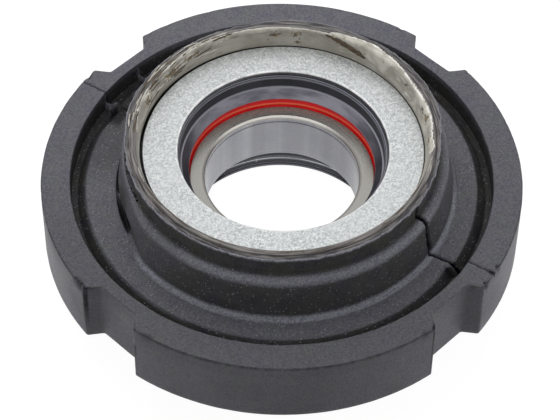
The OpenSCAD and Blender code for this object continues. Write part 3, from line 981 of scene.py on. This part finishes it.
NOTCH_LINES = ((171.7, AT_RIM), (188.3, AT_RIM + 0.35), (261.7, AT_RIM), (278.3, AT_RIM + 0.6))
NEAR_SIDE, CREST_HIGHLIGHT, HUB_LIGHT = (195.0, 281.0, 14.0), (176.0, 302.0, 16.0), (128.0, 172.0, 12.0)
GROOVE_LATE, FACE_SHADE = (110.0, 185.0, 14.0), (160.0, 262.0, 28.0)
WEB_BLACK_SHADE, WEB_DARK_SHADE = (98.0, 108.0, 5.0), (88.0, 124.0, 12.0)


def cushion_rows():
    """Points and places of the cushion's section, with fewer of them on its lower side."""
    outline, places = section(cushion_side(RING_TOP) + mirrored(cushion_side(-RING_BOTTOM)), SECTION_STEP)
    rounded = on_edge(places)
    beside_rounded = ~rounded & (np.roll(rounded, 1) | np.roll(rounded, -1))
    every_third = np.arange(len(places)) % 3 == 0
    sharp = places == np.round(places)
    kept = (places < AT_RIM + 0.5) | beside_rounded | (rounded & every_third) | sharp
    kept &= rounded | (places <= CUSHION_CORNERS - 0.98)
    return outline[kept], places[kept]


def cushion_columns():
    """Angle, sideways step in millimetres and slit depth of each column of the cushion's mesh."""
    angles = []
    for angle in np.arange(0, 360, COLUMN_STEP):
        beside_slit = any(from_slit(angle, slit) < SLIT_CLEAR for slit in SLIT_ANGLES)
        if not beside_slit and not any(start <= angle < stop for start, stop in FINE_ANGLES):
            angles.append(angle)
    for start, stop in FINE_ANGLES:
        angles += list(np.arange(start, stop, FINE_STEP))
    angles = [angle for angle in angles if abs(from_notch(angle) - FLANK_MIDDLE) >= FLANK_CLEAR]
    for notch in NOTCH_ANGLES:
        for side in (-1, 1):
            angles += [(notch + side * t) % 360 for t in np.arange(FLANK_FROM, FLANK_TO, FLANK_STEP)]
    columns = [(angle, 0.0, 0.0) for angle in angles]
    for slit in SLIT_ANGLES:
        columns += [(slit, step, depth) for step, depth in SLIT_SHAPE]
    columns.sort(key=lambda column: column[0] + math.degrees(column[1] / SLIT_R))
    return (np.array(values) for values in zip(*columns))


class CushionMesh:
    """The cushion while it is shaped: a row for each point of its section, and a column for each angle."""

    def __init__(self):
        self.outline, self.places = cushion_rows()
        self.angle, self.sideways, self.slit = cushion_columns()
        self.rows, self.columns = len(self.places), len(self.angle)
        self.r = np.repeat(self.outline[:, :1], self.columns, axis=1)
        self.z = np.repeat(self.outline[:, 1:], self.columns, axis=1)
        self.place = np.repeat(self.places[:, None], self.columns, axis=1)
        self.turn = np.repeat(self.angle[None, :], self.rows, axis=0)
        self.top = self.place < AT_LOWER_RIM + 0.2
        self.level = np.minimum(self.place, CUSHION_CORNERS - 1 - self.place)
        self.far_angle = (self.turn + np.degrees(self.sideways / SLIT_R) + 180) % 360 - 180
        self.circle = around_axis(NOISE_R, np.radians(self.angle), np.zeros(self.columns))
        self.near_slit = from_slit(self.angle, NEAR_SLIT) < SLIT_CLEAR
        self.in_slit = (self.sideways != 0) | (self.slit > 0)
        self.gaping = self.near_slit & (np.abs(self.sideways) < SLIT_WIDE)
        self.from_slits = np.minimum((self.turn - FAR_SLIT) % 360, (NEAR_SLIT - self.turn) % 360)
        self.camera_half = (self.turn > FAR_SLIT) & (self.turn < NEAR_SLIT)
        self.foot = window(self.turn, *FOOT_NARROW)
        self.find_outward()

    def find_outward(self):
        """Direction out of the section at each of its points."""
        along = np.roll(self.outline, -1, axis=0) - np.roll(self.outline, 1, axis=0)
        along /= np.linalg.norm(along, axis=1)[:, None]
        self.out_r, self.out_z = along[:, 1:], -along[:, :1]
        if self.out_z[np.abs(self.places - AT_RIM) < ARC_PLACE].mean() < 0:
            self.out_r, self.out_z = -self.out_r, -self.out_z

    def on(self, start, stop, soft):
        """1 on a stretch of the upper side's section, with soft ends, and 0 elsewhere."""
        return window(self.place, start, stop, soft) * self.top

    def push(self, amount):
        self.r = self.r + self.out_r * amount
        self.z = self.z + self.out_z * amount

    def cut_notches(self):
        """The flat faces are drawn in, and the rounded edges move whole."""
        across = (self.r - GROOVE_OUT) / (CUSHION_R - GROOVE_OUT)
        inward = (CUSHION_R - ring_edge(self.turn)) * np.clip(across * NOTCH_PULL, 0, 1)
        self.r = self.r - np.where(self.level > AT_GROOVE_CORNER + 0.5, inward, 0)

    def widen_groove(self):
        """Wider groove beside the slits, on the half towards the camera."""
        wider = GROOVE_WIDER * np.exp(-self.from_slits / GROOVE_WIDE_ANGLE) * self.camera_half
        self.r = self.r - wider * self.on(AT_WEB_END, AT_GROOVE_FOOT + 0.2, 0.9)

    def raise_flash(self):
        """Torn strips of flash that cross the groove."""
        strips = [share * window(self.far_angle, *stretch) for *stretch, share in FLASH_STRIPS]
        self.flash = sum(strips)
        self.strip = self.flash * self.on(AT_WEB_END + 0.2, AT_GROOVE_CORNER + 0.4, 0.6)
        self.z = self.z + FLASH_RISE * self.strip

    def narrow_hub(self):
        """On its narrow side the hub's ridge gives way to a moat with a bridge across it."""
        flank = window(self.turn, *HUB_NARROW) * self.on(AT_SHOULDER - 0.25, AT_HUB_FOOT, 0.3)
        base = self.foot * self.on(AT_HUB_FOOT - 0.05, AT_RIDGE_END + 0.05, 0.85)
        moat = sum(window(self.turn, *stretch) for stretch in MOATS)
        undercut = moat * self.on(AT_HUB_FOOT - 0.2, AT_HUB_FOOT + 0.2, 0.1)
        self.r = self.r - np.maximum(HUB_NARROWER * flank, FOOT_NARROWER * base) - MOAT_UNDERCUT * undercut
        self.z = self.z - RIDGE_H * self.foot * self.on(AT_HUB_FOOT - 0.1, AT_CREST + 0.6, 0.3)
        self.z = self.z - MOAT_DEPTH * moat * self.on(AT_HUB_FOOT - 0.02, AT_HUB_FOOT + 0.75, 0.12)

    def roughen(self):
        """Uneven moulded surface, lower on the flat face than elsewhere."""
        points = self.points(np.radians(self.turn))
        shown = (self.level > AT_NECK_END) & self.top
        lumps = np.zeros(shown.shape)
        lumps[shown] = LUMP_H * noise_at(points[shown], 0.16, 1)
        lumps[shown] += SMALL_LUMP_H * noise_at(points[shown], 0.7, 2)
        self.push(lumps * np.where(self.level > AT_FACE, FACE_LUMPS, 1.0))

    def tear_crest_and_lip(self):
        """Lumpy ridge crest, and a ragged lip that is wider on the far side."""
        crest = 0.3 * noise_at(self.circle, 0.35, 3) + 0.25 * noise_at(self.circle, 1.1, 4)
        self.z = self.z + crest * (1 - self.foot) * self.on(AT_HUB_FOOT, AT_CREST, 0.15)
        ragged = 0.35 * noise_at(self.circle, 0.5, 5) + 0.3 * noise_at(self.circle, 1.5, 6)
        wide = np.maximum(window(self.far_angle, *LIP_WIDE), 0.35 * window(self.far_angle, *LIP_LESS_WIDE))
        self.r = self.r + (ragged - 0.25 + LIP_WIDER * wide) * self.on(AT_LIP_HEAD, AT_LIP_FOOT, 0.6)
        rise = 0.6 * np.roll(ragged, 7) + 0.4 * wide
        self.z = self.z + rise * self.on(AT_LIP_HEAD, AT_LIP_HEAD + 0.2, 0.4)

    def nick_edge(self):
        """Nicks along the upper outer edge, thickest beside the notches and the near slit."""
        self.spots = noise_at(self.circle, 0.55, 7) + 0.7 * noise_at(self.circle, 1.7, 8)
        beside_notch = window(from_notch(self.angle), 8.0, 14.0, 3.0)
        beside_slit = window(from_slit(self.angle, NEAR_SLIT), -1, 4.0, 3.0)
        torn = sum(window(self.angle, *stretch) for stretch in TORN_EDGES)
        self.open_edge = 1 - window(from_notch(self.angle), -1.0, 6.2, 1.2)
        more = 0.5 * np.maximum(beside_notch, 0.6 * beside_slit) + 0.3 * torn
        nicks = self.open_edge * np.clip(self.spots - 0.6 + more, 0, 1)
        self.nicked = nicks * self.on(AT_RIM - 0.04, AT_RIM + 0.04, 0.05)
        self.r = self.r - (NICK_DEPTH + 0.8 * torn) * self.nicked
        self.z = self.z - (NICK_DROP + 0.6 * torn) * self.nicked

    def cut_slits(self):
        """Slits out to the upper edge; the near one starts higher up, gapes and strays."""
        start = np.where(self.near_slit, AT_NECK_HEAD + 0.1, AT_SHOULDER + 0.5)
        self.slit_reach = self.on(start, AT_RIM - 0.02, 0.05)
        depth = np.where(self.level > AT_FACE, 1.0, np.where(self.place > AT_WEB_END + 0.4, 0.6, 1.3))
        self.push(-self.slit * depth * self.slit_reach * np.clip(1 - self.strip, 0, 1))
        path = self.outline[:, 0] - self.outline[:, 1]
        wiggle = 0.5 * noise_along(path, 0.22, 3.1, 0) + 0.3 * noise_along(path, 1.0, 0, 2)
        opened = 1 + self.gaping * sum(share * window(self.place, *stretch) for *stretch, share in SLIT_GAPES)
        astray = -SLIT_STRAY * self.near_slit * window(self.place, AT_SLEEVE, AT_CREST, 1.8)
        step = self.sideways * opened + astray + self.in_slit * wiggle[:, None]
        self.bent = np.radians(self.turn) + step / np.maximum(self.r, RIDGE_IN)

    def points(self, turn):
        return around_axis(self.r, turn, self.z)

    def painted_dark_marks(self):
        """Painted shade: slits, nicks, the line along the upper edge, lines down the notches' corners and
        torn ends are painted dark, standing for the shade in them.
        """
        line = 0.6 * self.open_edge * np.clip(self.spots + 0.75, 0, 1) * self.on(AT_RIM, AT_RIM + 0.01, 0.012)
        black = np.maximum(np.clip(self.slit * self.slit_reach + 1.5 * self.nicked, 0, 1), line)
        broken = 0.95 + 0.4 * noise_along(self.outline[:, 1], 0.9, 1.7, 6)[:, None]
        for corner, start in NOTCH_LINES:
            beside = window(np.abs(self.angle - corner), -1.0, 0.46, 0.12)
            down = self.on(start, AT_LOWER_RIM - 0.1, 0.08)
            black = np.maximum(black, broken * beside * down)
        tear = window(self.from_slits, -1.0, 1.0, 4.5) * self.camera_half
        tear = tear * self.on(AT_WEB_END + 0.05, AT_GROOVE_FOOT, 0.15)
        slit_end = (self.gaping & self.in_slit) * self.on(AT_RIM - 0.2, AT_RIM + 0.02, 0.08)
        return np.clip(np.maximum.reduce([black, 0.85 * tear, 0.8 * slit_end]), 0, 1)

    def hub_hollow_shade(self):
        """Strength of the painted shade in the torn hollows at the hub's foot, by angle."""
        hollow = np.zeros(self.columns)
        for middle, half, share in HOLLOW_SHADES:
            hollow = np.maximum(hollow, share * np.clip(1 - ((self.angle - middle) / half) ** 2, 0, 1))
        return hollow

    def painted_shade(self, hollow, black_web_shade):
        """Painted shade: the groove, neck, hub, torn hollows and far web are painted dark where shade falls,
        and the flat face is painted darker on its near stretch.
        """
        hollow_top = AT_HUB_FOOT - 0.05 - 0.62 * hollow + 0.1 * noise_at(self.circle, 0.9, 9)
        groove_start = AT_WEB_END + 0.06 + 0.26 * window(self.angle, *GROOVE_LATE)
        hub_shade = 0.65 + 0.25 * window(self.angle, *NEAR_SIDE) - 0.3 * window(self.angle, *HUB_LIGHT)
        dark_web_shade = window(self.far_angle, *WEB_DARK_SHADE) * self.on(AT_RIDGE_END + 0.1, AT_WEB_END + 0.4, 0.5)
        face_shade = window(self.angle, *FACE_SHADE) * self.on(AT_FACE - 0.1, AT_RIM + 0.1, 0.15)
        return np.maximum.reduce([
            self.on(groove_start, AT_GROOVE_CORNER + 0.75, 0.1),
            self.on(AT_LIP_FOOT + 0.3, AT_NECK_FOOT + 0.4, 0.25),
            hub_shade * self.on(AT_SHOULDER + 0.06, AT_HUB_FOOT - 0.03, 0.06),
            np.sqrt(hollow) * self.on(hollow_top, AT_HUB_FOOT + 0.85, 0.12),
            black_web_shade,
            0.6 * dark_web_shade,
            0.24 * face_shade,
        ])

    def wear_and_painted_highlight(self, lip_wear, strip_wear):
        """Pale edges: rubbed wear on the lip and the flash, and a painted highlight on the ridge's crest and
        the hub's near shoulder.
        """
        crest = (1 - self.foot) * window(self.angle, *CREST_HIGHLIGHT)
        crest_highlight = crest * self.on(AT_HUB_FOOT - 0.015, AT_RIDGE_END - 0.02, 0.03)
        shoulder_highlight = 0.3 * window(self.angle, *NEAR_SIDE) * self.on(AT_SHOULDER - 0.3, AT_SHOULDER, 0.1)
        return np.clip(crest_highlight + lip_wear + strip_wear + shoulder_highlight, 0, 1)

    def tones(self):
        """Shares of the finish's tones: painted shade in cracks and floors, pale edges with wear and painted
        highlights, painted shade in hollows, dust and drawn lines.
        """
        lip_wear = 0.9 * self.on(AT_LIP_HEAD - 0.015, AT_LIP_HEAD + 0.015, 0.02)
        strip_wear = 0.6 * self.flash * self.on(AT_WEB_END + 0.3, AT_GROOVE_CORNER + 0.6, 0.4)
        hollow = self.hub_hollow_shade()
        black_web_shade = window(self.far_angle, *WEB_BLACK_SHADE) * self.on(AT_RIDGE_END + 0.45, AT_WEB_END + 0.4, 0.25)
        # Painted shade: the groove floor, the far web and the hollows' floors are darkened further.
        floor = 0.2 * self.on(AT_GROOVE_FOOT, AT_GROOVE_CORNER, 0.12) + 0.5 * black_web_shade
        floor = floor + 0.45 * hollow * self.on(AT_HUB_FOOT - 0.15, AT_HUB_FOOT + 0.78, 0.15)
        dusty = 0.25 + self.on(AT_NECK_FOOT + 0.2, AT_GROOVE_CORNER + 0.6, 0.3)
        shares = {
            "mark": np.maximum(self.painted_dark_marks(), floor * (1 - strip_wear)),
            "edge": self.wear_and_painted_highlight(lip_wear, strip_wear),
            "painted_shade": np.clip(self.painted_shade(hollow, black_web_shade) * (1 - 0.3 * strip_wear), 0, 1),
            "dusty": np.clip(dusty, 0, 1) * self.top,
            "drawn": 0.9 * self.on(AT_NECK_END, AT_LIP_FOOT + 0.2, 0.2) * (1 - lip_wear),
        }
        return {label: values.ravel() for label, values in shares.items()}


def moulded_cushion():
    shaped = CushionMesh()
    shaped.cut_notches()
    shaped.widen_groove()
    shaped.raise_flash()
    shaped.narrow_hub()
    shaped.roughen()
    shaped.tear_crest_and_lip()
    shaped.nick_edge()
    shaped.cut_slits()
    points = shaped.points(shaped.bent).reshape(-1, 3)
    faces = grid_faces(shaped.rows, shaped.columns, True, True)
    return mesh_of("moulded_cushion", points, faces, RUBBER, shaped.tones())


cushion = keep("moulded_cushion", moulded_cushion(), "housing", "rubber_cushion")


# Dried adhesive and grime on the sleeve's rim
RIM_PATH = np.array([
    (SLEEVE_IN, WASHER_TOP + 0.1),
    (SLEEVE_IN, FLARE_START),
    (FLARE_IN - 0.13, SLEEVE_END - 0.42),
    (FLARE_IN + 0.12, SLEEVE_END - 0.06),
    (FLARE_IN + 0.45, SLEEVE_END),
    (FLARE_OUT - 0.3, SLEEVE_END),
    (FLARE_OUT + 0.2, SLEEVE_END - 0.35),
    (NECK_LIP_R + 1.4, NECK_TOP + 0.05),
])
TORN_SHARE = 0.9
SLOPE_REACH = 0.4
FILM_SINK, FILM_TAPER, FILM_SWELL = 0.05, 3.0, 0.35
STRIP_COLUMNS, STRIP_ROWS = 2.2, 4
RIM_STEPS = np.concatenate([[0], np.cumsum(np.linalg.norm(np.diff(RIM_PATH, axis=0), axis=1))])


def rim_point(along, lift):
    """Radius and height at a distance along the rim's surface, lifted off it."""

    def place(distance):
        return np.stack([np.interp(distance, RIM_STEPS, RIM_PATH[:, axis]) for axis in (0, 1)])

    r, z = place(along)
    dr, dz = place(along + SLOPE_REACH) - place(along - SLOPE_REACH)
    length = np.hypot(dr, dz)
    return r - dz / length * lift, z + dr / length * lift


def film(angles, low, high, thickness, rows, seed):
    """Points and faces of a thin closed film on the rim, between two lines along it."""
    angles, low, high = (np.asarray(v, float) for v in (angles, low, high))
    columns = len(angles)
    share = np.linspace(0, 1, rows)[:, None]
    along = low[None, :] + (high - low)[None, :] * share
    rough = np.array([
        [noise.noise(Vector((a * 0.9, s * 1.3, seed))) for a, s in zip(angles, line)] for line in along
    ])
    ends = np.minimum(1, np.minimum(np.arange(columns), np.arange(columns)[::-1]) / FILM_TAPER)
    swell = np.sin(np.pi * np.clip(share, 0.04, 0.96)) ** FILM_SWELL * ends[None, :]
    lift = thickness * swell * (1 + 0.5 * rough)
    layers = []
    for height in (lift, np.full_like(lift, -FILM_SINK)):
        r, z = rim_point(along, height)
        layers.append(around_axis(r, np.radians(angles), z).reshape(-1, 3))
    front = grid_faces(rows, columns, False, False)
    back = front[:, ::-1] + rows * columns
    border = np.concatenate([
        np.arange(columns),
        np.arange(1, rows) * columns + columns - 1,
        (rows - 1) * columns + np.arange(columns - 2, -1, -1),
        np.arange(rows - 2, 0, -1) * columns,
    ])
    following = np.roll(border, -1)
    wall = np.stack([following, border, border + rows * columns, following + rows * columns], axis=1)
    torn = np.tile(np.repeat((share[:, 0] > TORN_SHARE).astype(float), columns), 2)
    return np.concatenate(layers), np.concatenate([front, back, wall]), torn


def joined(name, films, finish):
    points, faces, edges, start = [], [], [], 0
    for p, f, edge in films:
        if signed_volume(p, f) < 0:
            f = f[:, ::-1]
        points.append(p)
        faces.append(f + start)
        edges.append(edge)
        start += len(p)
    marks = {"edge": np.concatenate(edges)}
    return mesh_of(name, np.concatenate(points), np.concatenate(faces), finish, marks)


def ragged_line(angles, knots, roughness, seed):
    """Distance along the rim at each angle, through given knots, with a torn edge."""
    at, values = zip(*knots)
    torn = noise_along(angles, 0.8, seed, 0) + 0.6 * noise_along(angles, 2.3, seed, 4)
    return np.interp(angles, at, values) + roughness * torn


def strip(chance, angle, length, along, width, thickness, seed):
    """A short torn strip along the rim."""
    angles = np.linspace(angle - length / 2, angle + length / 2, max(6, int(length * STRIP_COLUMNS)))
    taper = np.sqrt(np.clip(1 - np.abs(np.linspace(-1, 1, len(angles))) ** 3, 0.03, 1))
    drift = chance.uniform(-0.5, 0.5) * np.linspace(-1, 1, len(angles))
    middle = along + drift + 0.2 * noise_along(angles, 0.7, seed, 1)
    half = width / 2 * taper * (1 + 0.5 * noise_along(angles, 1.9, seed, 2))
    return film(angles, middle - half, middle + half, thickness, STRIP_ROWS, seed)


def edged_film(turn, foot, head, roughness, thickness, rows, seed):
    """A film between two torn edges, each through its own knots."""
    angles = np.linspace(*turn)
    low = ragged_line(angles, foot, roughness[0], seed)
    high = ragged_line(angles, head, roughness[1], seed + 1)
    return film(angles, low, high, thickness, rows, seed + 2)


# Knots of the films' edges: angle in degrees, and distance along the rim's surface in millimetres
BAND_TURN, PATCH_TURN, INNER_TURN, SMEAR_TURN = (-55, 25, 230), (108, 131, 60), (22, 104, 200), (8, 27, 60)
BAND_FOOT = (
    (-55, 7.5), (-50, 6.0), (-44, 3.0), (-36, 1.0), (-25, 0.6), (-10, 0.8),
    (0, 2.0), (6, 3.6), (9.5, 5.2), (18.6, 7.2), (25, 8.8),
)
BAND_HEAD = (
    (-55, 8.3), (-51, 9.8), (-46, 8.9), (-40, 9.5), (-35, 9.9), (-25, 9.5), (-15, 9.4),
    (-4, 11.3), (1.5, 11.5), (7, 12.4), (15, 11.2), (21, 10.6), (25, 9.3),
)
PATCH_FOOT = ((108, 5.5), (114, 3.6), (126, 3.0), (131, 4.2))
PATCH_HEAD = ((108, 6.0), (114, 8.4), (122, 8.9), (131, 6.2))
INNER_FOOT = ((22, 7.4), (40, 6.7), (60, 6.4), (84, 6.6), (104, 7.6))
INNER_HEAD = ((22, 8.6), (40, 8.7), (60, 9.0), (84, 8.9), (104, 8.3))
SMEAR_MIDDLE = ((8, 3.6), (12, 4.4), (18.6, 5.9), (25.4, 7.5), (27, 7.8))
SMEAR_HALF = ((8, 0.4), (12, 1.0), (20, 1.0), (27, 0.3))
FAR_STRIPS, NEAR_STRIPS = 64, 18


def rim_films():
    """Films of pale adhesive and of dark grime, with short torn strips of both."""
    chance = np.random.default_rng(41)
    cream = [
        edged_film(BAND_TURN, BAND_FOOT, BAND_HEAD, (0.3, 0.5), 0.26, 16, 1),
        edged_film(PATCH_TURN, PATCH_FOOT, PATCH_HEAD, (0.3, 0.4), 0.2, 8, 4),
        edged_film(INNER_TURN, INNER_FOOT, INNER_HEAD, (0.35, 0.3), 0.1, 6, 7),
    ]
    dark = []
    for i in range(FAR_STRIPS):
        angle, along = chance.uniform(66, 128), chance.uniform(2.6, 11.6)
        length, width = chance.uniform(3, 13), chance.uniform(0.25, 0.8)
        thickness = chance.uniform(0.08, 0.22)
        made = strip(chance, angle, length, along, width, thickness, i)
        (cream if i % 5 < 3 else dark).append(made)
    for i in range(NEAR_STRIPS):
        angle, along = chance.uniform(130, 300), chance.uniform(6.5, 10.0)
        made = strip(chance, angle, chance.uniform(4, 12), along, chance.uniform(0.2, 0.5), 0.1, 60 + i)
        (cream if i % 3 == 0 else dark).append(made)
    smear = np.linspace(*SMEAR_TURN)
    middle = ragged_line(smear, SMEAR_MIDDLE, 0.3, 21)
    half = ragged_line(smear, SMEAR_HALF, 0.3, 22)
    dark.append(film(smear, middle - half, middle + half, 0.28, 5, 23))
    return cream, dark


cream_films, dark_films = rim_films()
keep("adhesive_flakes", joined("adhesive_flakes", cream_films, ADHESIVE), "housing")
keep("rim_grime", joined("rim_grime", dark_films, GRIME), "housing")


# Dust grains scattered on the upward faces of the rubber
DUST_DENSITY, DUST_GRAIN = 30000.0, 0.11
LEAST_UPWARD = 0.25
GRAIN_LEAST, GRAIN_MOST = (0.3, 0.3, 0.2), (1.4, 1.0, 0.7)
SCATTER_SEED, SIZE_SEED = 11, 5


def make_dust():
    inputs = {"Surface": "Geometry", "Density": "Float", "Grain Size": "Float", "Outer Radius": "Float"}
    tree, given, sockets = shape_tree("Dust grains", {**inputs, "Finish": "Material"}, "Grains")

    def compare(operation, first, second):
        return add(tree, "FunctionNodeCompare", {0: first, 1: second}, operation=operation).outputs[0]

    normal = add(tree, "GeometryNodeInputNormal").outputs[0]
    facing = add(tree, "ShaderNodeSeparateXYZ", {0: normal}).outputs[2]
    position = add(tree, "GeometryNodeInputPosition").outputs[0]
    across = add(tree, "ShaderNodeVectorMath", {0: position, 1: (1, 1, 0)}, operation="MULTIPLY").outputs[0]
    radius = add(tree, "ShaderNodeVectorMath", {0: across}, operation="LENGTH").outputs["Value"]
    upward = compare("GREATER_THAN", facing, LEAST_UPWARD)
    inside = compare("LESS_THAN", radius, given["Outer Radius"])
    chosen = add(tree, "FunctionNodeBooleanMath", {0: upward, 1: inside}, operation="AND").outputs[0]
    spread = {
        "Mesh": given["Surface"],
        "Density": given["Density"],
        "Selection": chosen,
        "Seed": SCATTER_SEED,
    }
    scattered = add(tree, "GeometryNodeDistributePointsOnFaces", spread).outputs
    ball = {"Radius": given["Grain Size"], "Subdivisions": 1}
    grain = add(tree, "GeometryNodeMeshIcoSphere", ball).outputs[0]
    limits = {"Min": GRAIN_LEAST, "Max": GRAIN_MOST, "Seed": SIZE_SEED}
    size = add(tree, "FunctionNodeRandomValue", limits, data_type="FLOAT_VECTOR").outputs[0]
    placed = {
        "Points": scattered["Points"],
        "Instance": grain,
        "Rotation": scattered["Rotation"],
        "Scale": size,
    }
    grains = add(tree, "GeometryNodeInstanceOnPoints", placed).outputs[0]
    end_tree(tree, grains, given["Finish"])
    return tree, sockets


DUST_GRAINS, DUST_SOCKETS = make_dust()
dust_values = {
    "Density": DUST_DENSITY,
    "Grain Size": DUST_GRAIN * MM,
    "Outer Radius": GROOVE_OUT * MM,
    "Finish": DUST,
}
dust_mesh = plain_result("dust_surface", cushion.data.copy(), DUST_GRAINS, DUST_SOCKETS, dust_values)
keep("dust_grains", dust_mesh, "housing")


# Finishes of the hidden solids, which keep their own meshes
def coat(name, finish):
    mesh = nodes[name].data
    mesh.materials.clear()
    mesh.materials.append(finish)


coat("bearing_outer_ring", STEEL)
for name in ("cage_upper_half", "cage_lower_half", "cage_rivets"):
    coat(name, CAGE)
for name in nodes:
    if name.startswith("ball_"):
        coat(name, BALL)


# Floor, world and lamps
FLOOR_SIZE = 8.0
FLOOR_GREY, FLOOR_SHADE, FLOOR_GLOW = (0.34, 0.34, 0.34, 1), (0.14, 0.14, 0.14, 1), 0.95
WHITE, SKY, SKY_STRENGTH = (1, 1, 1, 1), (0.96, 0.98, 1.0, 1), 0.28


def seen_directly(tree):
    """1 for camera, glossy and transmission rays, which show the plain white ground."""
    path = add(tree, "ShaderNodeLightPath").outputs
    both = maths(tree, "MAXIMUM", path["Is Camera Ray"], path["Is Glossy Ray"])
    return maths(tree, "MAXIMUM", both, path["Is Transmission Ray"])


def bare_tree(owner):
    """Emptied shader tree of a material or a world."""
    owner.use_nodes = True
    owner.node_tree.nodes.clear()
    return owner.node_tree


def make_floor():
    half = FLOOR_SIZE / 2
    mesh = bpy.data.meshes.new("floor")
    height = FLOOR_Z * MM
    corners = ((-half, -half), (half, -half), (half, half), (-half, half))
    mesh.from_pydata([(x, y, height) for x, y in corners], [], [(0, 1, 2, 3)])
    finish = bpy.data.materials.new("floor_white")
    tree = bare_tree(finish)
    plain = add(tree, "ShaderNodeBsdfDiffuse", {"Color": FLOOR_GREY}).outputs[0]
    shaded = add(tree, "ShaderNodeBsdfDiffuse", {"Color": FLOOR_SHADE}).outputs[0]
    glow = add(tree, "ShaderNodeEmission", {"Color": WHITE, "Strength": FLOOR_GLOW}).outputs[0]
    white = add(tree, "ShaderNodeAddShader", {0: shaded, 1: glow}).outputs[0]
    mixed = add(tree, "ShaderNodeMixShader", {0: seen_directly(tree), 1: plain, 2: white}).outputs[0]
    add(tree, "ShaderNodeOutputMaterial", {"Surface": mixed})
    mesh.materials.append(finish)
    floor = in_scene("floor", mesh)


def make_world():
    world = bpy.data.worlds.new("studio")
    tree = bare_tree(world)
    light = add(tree, "ShaderNodeBackground", {"Color": SKY, "Strength": SKY_STRENGTH}).outputs[0]
    white = add(tree, "ShaderNodeBackground", {"Color": WHITE, "Strength": 1.0}).outputs[0]
    mixed = add(tree, "ShaderNodeMixShader", {0: seen_directly(tree), 1: light, 2: white}).outputs[0]
    add(tree, "ShaderNodeOutputWorld", {"Surface": mixed})
    bpy.context.scene.world = world


# Square lamps: name, angle, elevation, distance and side in metres, and watts
LAMPS = (
    ("front_spot", 223.5, 52.0, 0.8, 0.1, 0.022),
    ("far_left_softbox", 72.0, 48.0, 0.52, 0.6, 1.7),
    ("overhead_softbox", 40.0, 60.0, 0.7, 0.7, 1.8),
    ("right_softbox", -42.0, 7.0, 0.9, 0.45, 3.5),
    ("left_softbox", 145.0, 7.0, 0.9, 0.45, 1.9),
)
SPOT_SPREAD, SPOT_AIM = 12.0, Vector((5.8, 5.5, 12.0)) * MM


def make_lamps():
    for name, angle, lift, distance, side, watts in LAMPS:
        away = direction(angle, lift)
        data = bpy.data.lights.new(name, "AREA")
        data.size = side
        data.energy = watts
        aim = Vector()
        if name.endswith("spot"):
            data.spread = math.radians(SPOT_SPREAD)
            aim = SPOT_AIM
        lamp = in_scene(name, data)
        lamp.visible_glossy = False
        facing = away.to_track_quat("Z", "Y").to_matrix().to_4x4()
        lamp.matrix_world = Matrix.Translation(aim + away * distance) @ facing


make_floor()
make_world()
make_lamps()
